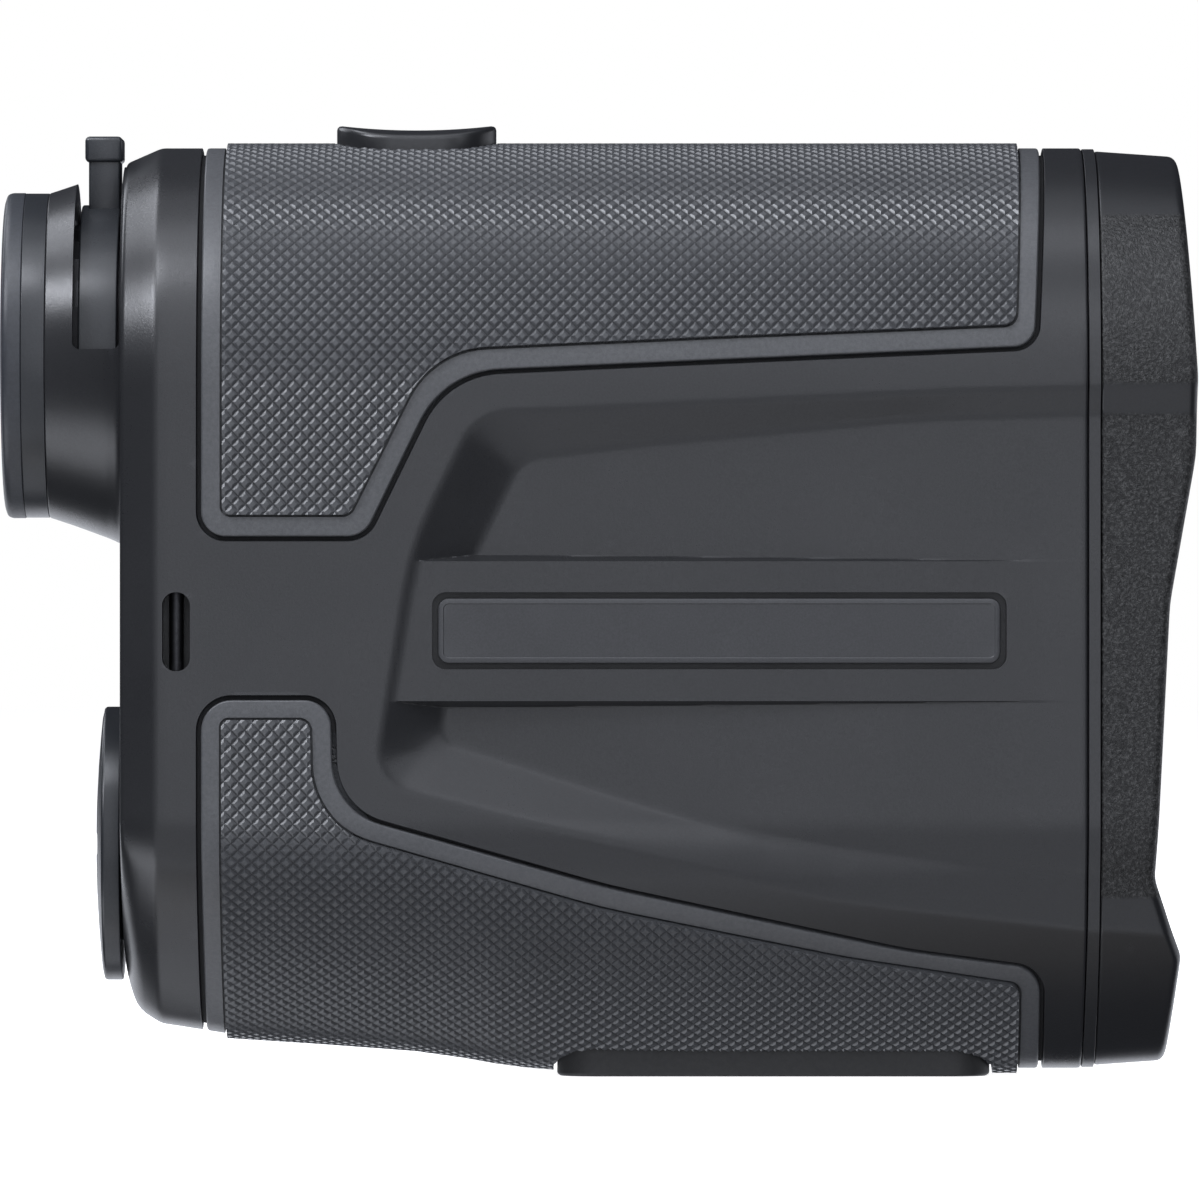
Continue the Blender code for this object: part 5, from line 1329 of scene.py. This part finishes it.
hood = carve(hood, port("objective_port", 17.2, 16.3, 17.6, 0.139, 0.13, 47.6, OBJECTIVE_AXIS, 160),
             port("receiver_port", 11.35, 10.2, 11.3, 0.117, 0.11, 45.4, RECEIVER_AXIS, 128))
hood.name = "front_hood"
piece(hood, "housing", "bezel", "hood_texture", "front_bezel")

# %% [markdown]
# ## Joint strip
# A thin gasket closes the joint between the two mouldings. It fills the gap almost to the surface and follows
# the sunk side, so all that shows is a strip of rubber between two hairline seams.

# %% Gasket
GASKET = np.array([(40.42, 0.20), (40.43, 0.05), (40.48, 0.0), (41.38, 0.0), (41.41, 0.04),
                   (41.42, 0.20)]) * MM
gasket = body_solid("joint_gasket", GASKET, rows, 0.07 * MM, sculpted=True)
gasket = carve(gasket, plain_solid("gasket_hole", 39 * MM, 43 * MM, 0.8 * MM, 2.7 * MM))
piece(gasket, "housing", "seal_rubber", "joint_rubber", "front_gasket")
print("gasket:", len(gasket.data.polygons), "faces")

# %% [markdown]
# ## Lenses and their cells
# The two front lenses are turned between spherical faces and sit in blackened cells behind retaining rings.
# Seen from the front they are the deepest and glossiest thing on the product, so they get far more facets
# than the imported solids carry.

# %% Front optics
def lens(name, radius, rear, front, rear_bulge, front_bulge, centre):
    """A lens from its two faces. A bulge is how far a face stands out at the middle."""
    shares = np.linspace(0, 1, 13)
    back = [(radius * share, rear + rear_bulge * share ** 2) for share in shares]
    face = [(radius * share, front - front_bulge * share ** 2) for share in shares[::-1]]
    return turned(name, back + [(radius, rear + rear_bulge + 0.01)] + face, centre, steps=96)


for name, axis, profile in (("objective", OBJECTIVE_AXIS, (15.7, 33.0, 40.0, 0.9, 2.4)),
                            ("receiver", RECEIVER_AXIS, (9.4, 33.2, 39.9, 0.5, 2.6))):
    piece(lens(name + "_glass", *profile, axis), "housing", "coated_glass", "lens_glass", name + "_lens")
RINGS = (("objective", OBJECTIVE_AXIS, [(14.9, 38.2), (15.7, 38.2), (15.7, 39.6), (15.0, 39.6)]),
         ("receiver", RECEIVER_AXIS, [(8.7, 38.0), (9.4, 38.0), (9.4, 39.4), (8.8, 39.4)]))
for name, axis, profile in RINGS:
    ring = turned(name + "_ring", softened(profile, 0.12), axis)
    piece(ring, "housing", "black_metal", "black_anodised", name + "_retaining_ring")

# %% Cells of the front lenses
baffle = [(14.2 - 0.117 * (24 - x) - 0.25 * (k % 2), x) for k, x in enumerate(np.arange(23.5, -2.0, -0.8))]
cell = turned("objective_barrel", [(16.0, 41.0), (16.8, 41.0), (16.8, 28), (15.0, 24), (11.0, -2.5),
                                   (10.2, -2.5)] + baffle[::-1] + [(14.6, 33.6), (16.0, 33.6)],
              OBJECTIVE_AXIS, steps=96)
piece(cell, "housing", "matt_black_metal", "flat_black", "objective_cell")
cell = turned("receiver_barrel", softened([(9.7, 41.0), (11.0, 41.0), (11.0, 22), (8.6, 22), (8.6, 33.4),
                                           (9.7, 33.4)], 0.1), RECEIVER_AXIS, steps=96)
piece(cell, "housing", "matt_black_metal", "flat_black", "receiver_cell")
print("baffle grooves:", len(baffle) // 2)

# %% [markdown]
# ## Eyepiece
# From the inside out: the fixed barrel, a black guide ring that climbs along it, the twist-up sleeve, and a
# soft rim. All of them are turned and softened, because a ring with perfectly sharp corners never catches the
# light the way a moulded one does.

# %% Eyecup
RIM_PROFILE = [(9.4, -48.85), (9.75, -49.3), (12.8, -49.3), (13.42, -49.1), (13.57, -48.7), (13.57, -47.66),
               (13.52, -47.60), (13.15, -47.60), (13.15, -48.8), (9.6, -48.7)]
SLEEVE_PROFILE = [(12.5, -48.6), (12.85, -48.6), (12.85, -47.58), (13.50, -47.58), (13.53, -47.55),
                  (13.53, -45.68), (13.50, -45.65), (12.5, -45.65)]
GUIDE_PROFILE = [(11.2, -48.4), (12.2, -48.4), (12.2, -43.5), (11.2, -43.5)]
rubber = turned("eyecup_rim", softened(RIM_PROFILE, 0.2), EYE_AXIS, steps=160)
piece(rubber, "eyecup", "eyecup_rubber", "rim_rubber", "eyecup_rubber")
sleeve = turned("twist_sleeve", softened(SLEEVE_PROFILE, 0.02), EYE_AXIS, steps=160)
piece(sleeve, "eyecup", "shell", "eyepiece_plastic", "eyecup_sleeve")
guide = turned("guide_ring", softened(GUIDE_PROFILE, 0.1), EYE_AXIS, steps=128)
piece(guide, "eyecup_guide", "black_metal", "black_anodised", "eyecup_guide_ring")
print("eyecup:", [round(size / MM, 2) for size in rubber.dimensions], "mm, sleeve:",
      [round(size / MM, 2) for size in sleeve.dimensions], "mm")

# %% [markdown]
# The ocular slides in the barrel. A pin of the diopter ring runs in a helical groove in its mount, which is
# swept by one small frame for each step of the turn and then cut.

# %% Ocular and its cam groove
CAM_X, CAM_TRAVEL, CAM_TURN, CAM_STEPS = -41.4 * MM, 1.2 * MM, math.radians(60), 25
piece(lens("ocular_glass", 7.6, -44.5, -41.2, 0.6, 0.7, EYE_AXIS), "ocular", "coated_glass", "lens_glass",
      "eye_lens")
mount = turned("ocular_mount", softened([(7.1, -44.8), (7.5, -44.8), (9.7, -44.6), (9.7, -35.6), (7.9, -35.6),
                                         (7.9, -44.3), (7.1, -44.3)], 0.1), EYE_AXIS, steps=128)
groove = []
for k in range(CAM_STEPS):
    angle = CAM_TURN * 1.15 * (k / (CAM_STEPS // 2) - 1)
    along = CAM_X - CAM_TRAVEL * angle / CAM_TURN
    groove += [(along + dx * MM, -r * MM * math.sin(angle), EYE_Z + r * MM * math.cos(angle))
               for dx, r in ((-1.2, 8.4), (1.2, 8.4), (1.2, 11.5), (-1.2, 11.5))]
cam = turn_outwards(mesh_object("cam_groove", groove, tube_faces(CAM_STEPS, 4)))
mount = carve(mount, cam)
piece(mount, "ocular", "matt_black", "flat_black", "ocular_cell")
print("ocular mount:", len(mount.data.polygons), "faces")

# %% [markdown]
# ## Diopter ring and lever
# The ring lies in the boss and only its upper half shows through the slot. Its lever is a block with a step
# and a chamfered top, wide enough for a fingertip, and the pin on its inner side drives the ocular.

# %% Diopter ring
DIAL_PROFILE = [(11.2, -42.9), (12.45, -42.9), (12.56, -42.8), (12.56, -39.75), (12.45, -39.65),
                (11.2, -39.65)]
dial = turned("diopter_dial", softened(DIAL_PROFILE, 0.1), EYE_AXIS, steps=160)
neck = block("neck", (-42.3 * MM, -3.0 * MM, EYE_Z + 12.0 * MM),
             (-39.7 * MM, 3.0 * MM, EYE_Z + 16.6 * MM), 0.2 * MM)
head = block("head", (-42.6 * MM, -3.4 * MM, EYE_Z + 16.05 * MM),
             (-39.5 * MM, 3.4 * MM, EYE_Z + 18.2 * MM), 0.36 * MM)
pin = turned("pin", [(0, 8.7), (0.8, 8.7), (0.8, 11.9), (0, 11.9)], (CAM_X, 0, EYE_Z), aim="Z", steps=32)
dial = carve(dial, neck, head, pin, operation="UNION")
piece(dial, "diopter", "shell", "eyepiece_plastic", "diopter_ring")
lever_top = max(vertex.co.z for vertex in dial.data.vertices) - EYE_Z
print("lever top at", round(lever_top / MM, 2), "mm above the axis")

# %% [markdown]
# ## Battery cap
# A shallow dome with a coin slot that has round ends. A knurl round the rim would be hidden in the recess,
# so the rim stays plain.

# %% Battery cap
CAP_TOP = -41.72
CAP_SIDE = [(11.25, -41.05), (11.4, -40.85), (11.4, -39.5), (8.0, -39.5), (8.0, -37.2), (9.25, -36.9),
            (9.25, -35.2), (6.6, -35.2), (6.6, -38.9), (0, -38.9)]
dome = [(r, CAP_TOP + 0.005 * r ** 2) for r in (0, 2.5, 5, 7.5, 9.5, 10.7)]
cap = turned("cap", dome + softened(CAP_SIDE, 0.12), BATTERY_AXIS, steps=144)
coin = top_prism("coin", capsule((0, 0), 14.4 * MM, 1.8 * MM), -1 * MM, 1 * MM)
coin.data.transform(Matrix.Translation((CAP_TOP * MM, 0, BATTERY_Z)) @ Matrix.Rotation(math.pi / 2, 4, "Z")
                    @ Matrix.Rotation(math.pi / 2, 4, "X"))
cap = carve(cap, coin)
piece(cap, "battery_cap", "shell", "eyepiece_plastic", "battery_cap")
seal = turned("cap_o_ring", [(8.95 + 0.62 * math.cos(t), -38.35 + 0.62 * math.sin(t))
                             for t in np.linspace(0, 2 * math.pi, 16, endpoint=False)], BATTERY_AXIS)
piece(seal, "cap_seal", "seal_rubber", "seal_rubber", "cap_seal_ring")
print("cap:", len(cap.data.polygons), "faces")

# %% [markdown]
# ## Buttons
# The trigger button is crowned across, so that it sits in the body's curve, and dished along, so that a
# finger finds its middle. Its top is a small height field with a rolled edge. The mode button is a plain
# turned cap with a dimple.

# %% Trigger button
def button_top(x, y):
    """Height of the button's top: crowned across, dished along, rolled over at the edge."""
    reach = BUTTON[0] / 2
    crown = TRIGGER_TOP - TOP_AXIS
    height = TOP_AXIS + np.sqrt(crown ** 2 - y ** 2)
    dish = 0.4 * MM * (1 - np.clip(np.abs(x - TRIGGER.x) / reach, 0, 1) ** 2)
    return height - dish


TRIGGER_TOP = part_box("trigger_button")[1].z
outline = densify(capsule((TRIGGER.x, 0), BUTTON[0], BUTTON[1]), 0.5 * MM)


def button_wrap(x, y, rise):
    """Rise 0 is the button's top surface, and far below it is a plain height."""
    return np.stack([x, y, np.where(rise > -2 * MM, button_top(x, y) + rise, rise + 76.3 * MM)], axis=-1)


rolled = stack(outline, (0, -5.1), (0, -1.2), (0, -0.42), (-0.06, -0.2), (-0.2, -0.06), (-0.42, 0))
button = flat_solid("trigger_key", rolled, button_wrap, spacing=0.5 * MM)
flange = top_prism("flange", capsule((TRIGGER.x, 0), BUTTON[0] + 2.2 * MM, BUTTON[1] + 2.0 * MM), 71.3 * MM,
                   72.2 * MM)
stem = turned("stem", [(0, 69.5), (1.6, 69.5), (1.6, 71.8), (0, 71.8)], (TRIGGER.x, 0, 0), aim="Z", steps=48)
button = carve(button, flange, stem, operation="UNION")
piece(button, "trigger", "shell", "shell_plastic", "trigger_button")
print("trigger button:", len(button.data.polygons), "faces")

# %% Mode button
KEY_PROFILE = [(0, 14.6), (1.2, 14.6), (1.2, 15.9), (4.3, 15.9), (4.3, 16.8), (3.4, 16.8), (3.4, 20.4),
               (2.9, 20.75), (1.6, 20.7), (0, 20.62)]
key = turned("mode_key", softened(KEY_PROFILE, 0.18), (MODE.x, 0, MODE.z), aim="Y", steps=96)
piece(key, "mode", "shell", "shell_plastic", "mode_button")
print("mode button:", len(key.data.polygons), "faces")

# %% [markdown]
# ## Plates and strap pin
# The plate on each side is left bare: only its chamfered frame and its satin surface are made.

# %% Side plates and strap pin
for side in ("right", "left"):
    inward = 1 if side == "right" else -1
    outline = densify(rounded_box((PLATE_X[0], PLATE_Z[0]), (PLATE_X[1], PLATE_Z[1]), 0.9), 2 * MM)
    rings = stack(outline, (0, 0.8), (0, 0.16), (-0.05, 0.05), (-0.16, 0), (-0.42, 0), (-0.48, 0.05))
    plate = flat_solid("side_plate_" + side, rings,
                       lambda x, z, depth, inward=inward: np.stack([x, inward * depth, z], axis=-1),
                       spacing=4 * MM)
    plate.data.transform(plate_frame(side))
    piece(plate, "housing", "plate_film", "plate_film", "nameplate_" + side)
low, high = STRAP_Z[0] / MM - 1.3, STRAP_Z[1] / MM + 1.3
pin = turned("strap_bar", softened([(0, low), (0.6, low), (0.6, high), (0, high)], 0.15),
             (sum(STRAP_X) / 2, -(RADIUS - 1.4 * MM), 0), aim="Z", steps=40)
piece(pin, "housing", "steel", "dark_pin_steel", "strap_pin")
print("strap pin:", round(high - low, 2), "mm long")

# %% [markdown]
# ## Pieces inside
# The solids inside keep their own meshes. They only need their real finishes, because they are seen through
# a lens or when the product is taken apart on screen.

# %% Finishes for the solids that stay
INSIDE = {
    "black_anodised": ["eyepiece_barrel", "ocular_spacer_ring", "laser_diode_module"],
    "flat_black": ["prism_holder"],
    "bright_steel": ["barrel_screw_1", "barrel_screw_2", "barrel_screw_3", "board_screw_1", "board_screw_2",
                     "board_screw_3", "clamp_screw_1", "clamp_screw_2", "prism_clamp", "cap_spring"],
    "lens_glass": ["field_lens", "roof_prism"],
    "circuit_green": ["main_board", "display_module", "receiver_board"],
    "chip_resin": ["trigger_switch", "mode_switch", "battery_tube"],
    "contact_brass": ["battery_contact"],
    "battery_sleeve": ["battery"],
}
for finish, nodes in INSIDE.items():
    for node in nodes:
        solid = frame["nodes"][node]
        solid.data.materials.clear()
        solid.data.materials.append(FINISHES[finish])
print("solids that stay:", sum(len(nodes) for nodes in INSIDE.values()))

# %% [markdown]
# ## Studio
# Dark plastic shows its shape only through what it mirrors. So the surround is white to the camera and nearly
# black to everything else, and the shape is drawn by soft boxes: some overhead, which lay a highlight along
# the rounded top, wide ones in front for the flat side, a hot one behind the left end that picks out the
# rear chamfer, and low ones for the belly. The product stands as if on a lit glass table: the floor shows to
# the camera, nearly white and with only a trace of shadow, and neither blocks the low boxes nor throws light
# back.

# %% Floor
scene = bpy.context.scene
scene.view_settings.view_transform = "Standard"
scene.view_settings.look = "None"
scene.view_settings.exposure = 0.0
scene.view_settings.gamma = 1.0
FLOOR_HALF = 4
tree, shader = new_material("pale_floor")
for name, value in (("Base Color", (0.8, 0.8, 0.8, 1)), ("Roughness", 0.9), ("Specular IOR Level", 0.0),
                    ("Emission Color", (1, 1, 1, 1)), ("Emission Strength", 0.96)):
    shader.inputs[name].default_value = value
corners = [(x * FLOOR_HALF, y * FLOOR_HALF, 0) for x, y in ((-1, -1), (1, -1), (1, 1), (-1, 1))]
floor = mesh_object("floor", corners, [(0, 1, 2, 3)])
floor.location.z = -0.02 * MM
floor.data.materials.append(FINISHES["pale_floor"])
for ray in ("diffuse", "glossy", "transmission", "shadow"):
    setattr(floor, "visible_" + ray, False)
print("floor:", 2 * FLOOR_HALF, "m across")

# %% [markdown]
# Each box is placed by the angles at which the product sees it, because that is what decides where its
# reflection falls. Its power follows from its size, so a larger box isn't a brighter one.

# %% Soft boxes
COOL, WARM = (0.96, 0.99, 1.07), (1.06, 1.0, 0.93)
CENTRE = (0, 0, 40 * MM)


def soft_light(name, azimuth, elevation, width, height, radiance, colour=COOL, aim=CENTRE, distance=1.35):
    """A soft box seen from the product at the middle of two angle spans, in degrees.

    Azimuth 0 is the viewer's side and grows to the right. Elevation past 90 leans over to the back."""
    turn, lift = math.radians(azimuth), math.radians(elevation)
    away = Vector((math.cos(lift) * math.sin(turn), -math.cos(lift) * math.cos(turn), math.sin(lift)))
    data = bpy.data.lights.new(name, "AREA")
    data.shape = "RECTANGLE"
    data.size = 2 * distance * math.tan(math.radians(width / 2))
    data.size_y = 2 * distance * math.tan(math.radians(height / 2))
    data.energy = radiance * math.pi * data.size * data.size_y
    data.color = colour
    thing = add_object(name, data)
    thing.location = Vector(aim) + away * distance
    thing.rotation_euler = away.to_track_quat("Z", "Y").to_euler()
    thing.visible_camera = False


# Name, azimuth, elevation, width and height of the box in degrees, radiance, colour if it isn't cool.
BOXES = [("front_left", -22, 16, 24, 62, 0.48), ("front_middle", 0, 16, 20, 62, 1.50),
         ("front_right", 22, 16, 24, 62, 0.50), ("front_upper", -10, 57, 80, 20, 0.80),
         ("front_top", 0, 76, 60, 18, 2.30), ("overhead_strip", 0, 97, 60, 20, 0.60),
         ("rear_edge_box", -108, 60, 36, 14, 5.00), ("front_low", 0, -34, 60, 32, 0.80),
         ("under_front", 0, -58, 60, 14, 1.15), ("under_belly", 0, -76, 60, 20, 0.35, WARM),
         ("left_low", -66, -47, 30, 26, 2.80), ("far_box", 180, -20, 84, 36, 1.30),
         ("eye_side_box", -134, 27, 32, 26, 2.40), ("lens_side_box", 117, -8, 44, 44, 1.00),
         ("grip_edge_box", -50, 37.5, 14, 12, 25.0), ("lobe_box", 42, 25, 16, 26, 1.8),
         ("flank_box", 18, 37, 20, 18, 1.2)]
for box in BOXES:
    soft_light(*box)
soft_light("eyepiece_box", -14, 55, 18, 14, 9.5, aim=(-46 * MM, 0, EYE_Z), distance=0.20)
soft_light("eyepiece_low_box", 0, -92, 20, 40, 1.1, aim=(-50 * MM, 0, EYE_Z), distance=0.16)

# %% [markdown]
# The surround is white only for the camera. To the product it is nearly black and slightly blue.

# %% Surround
world = bpy.data.worlds.new("white_surround")
scene.world = world
world.use_nodes = True
tree = world.node_tree
seen = tree.nodes.new("ShaderNodeLightPath").outputs["Is Camera Ray"]
surround = mix(tree, seen, (0.032, 0.034, 0.042), (1.0, 1.0, 1.0))
tree.links.new(surround, tree.nodes["Background"].inputs["Color"])
print("surround:", world.name)
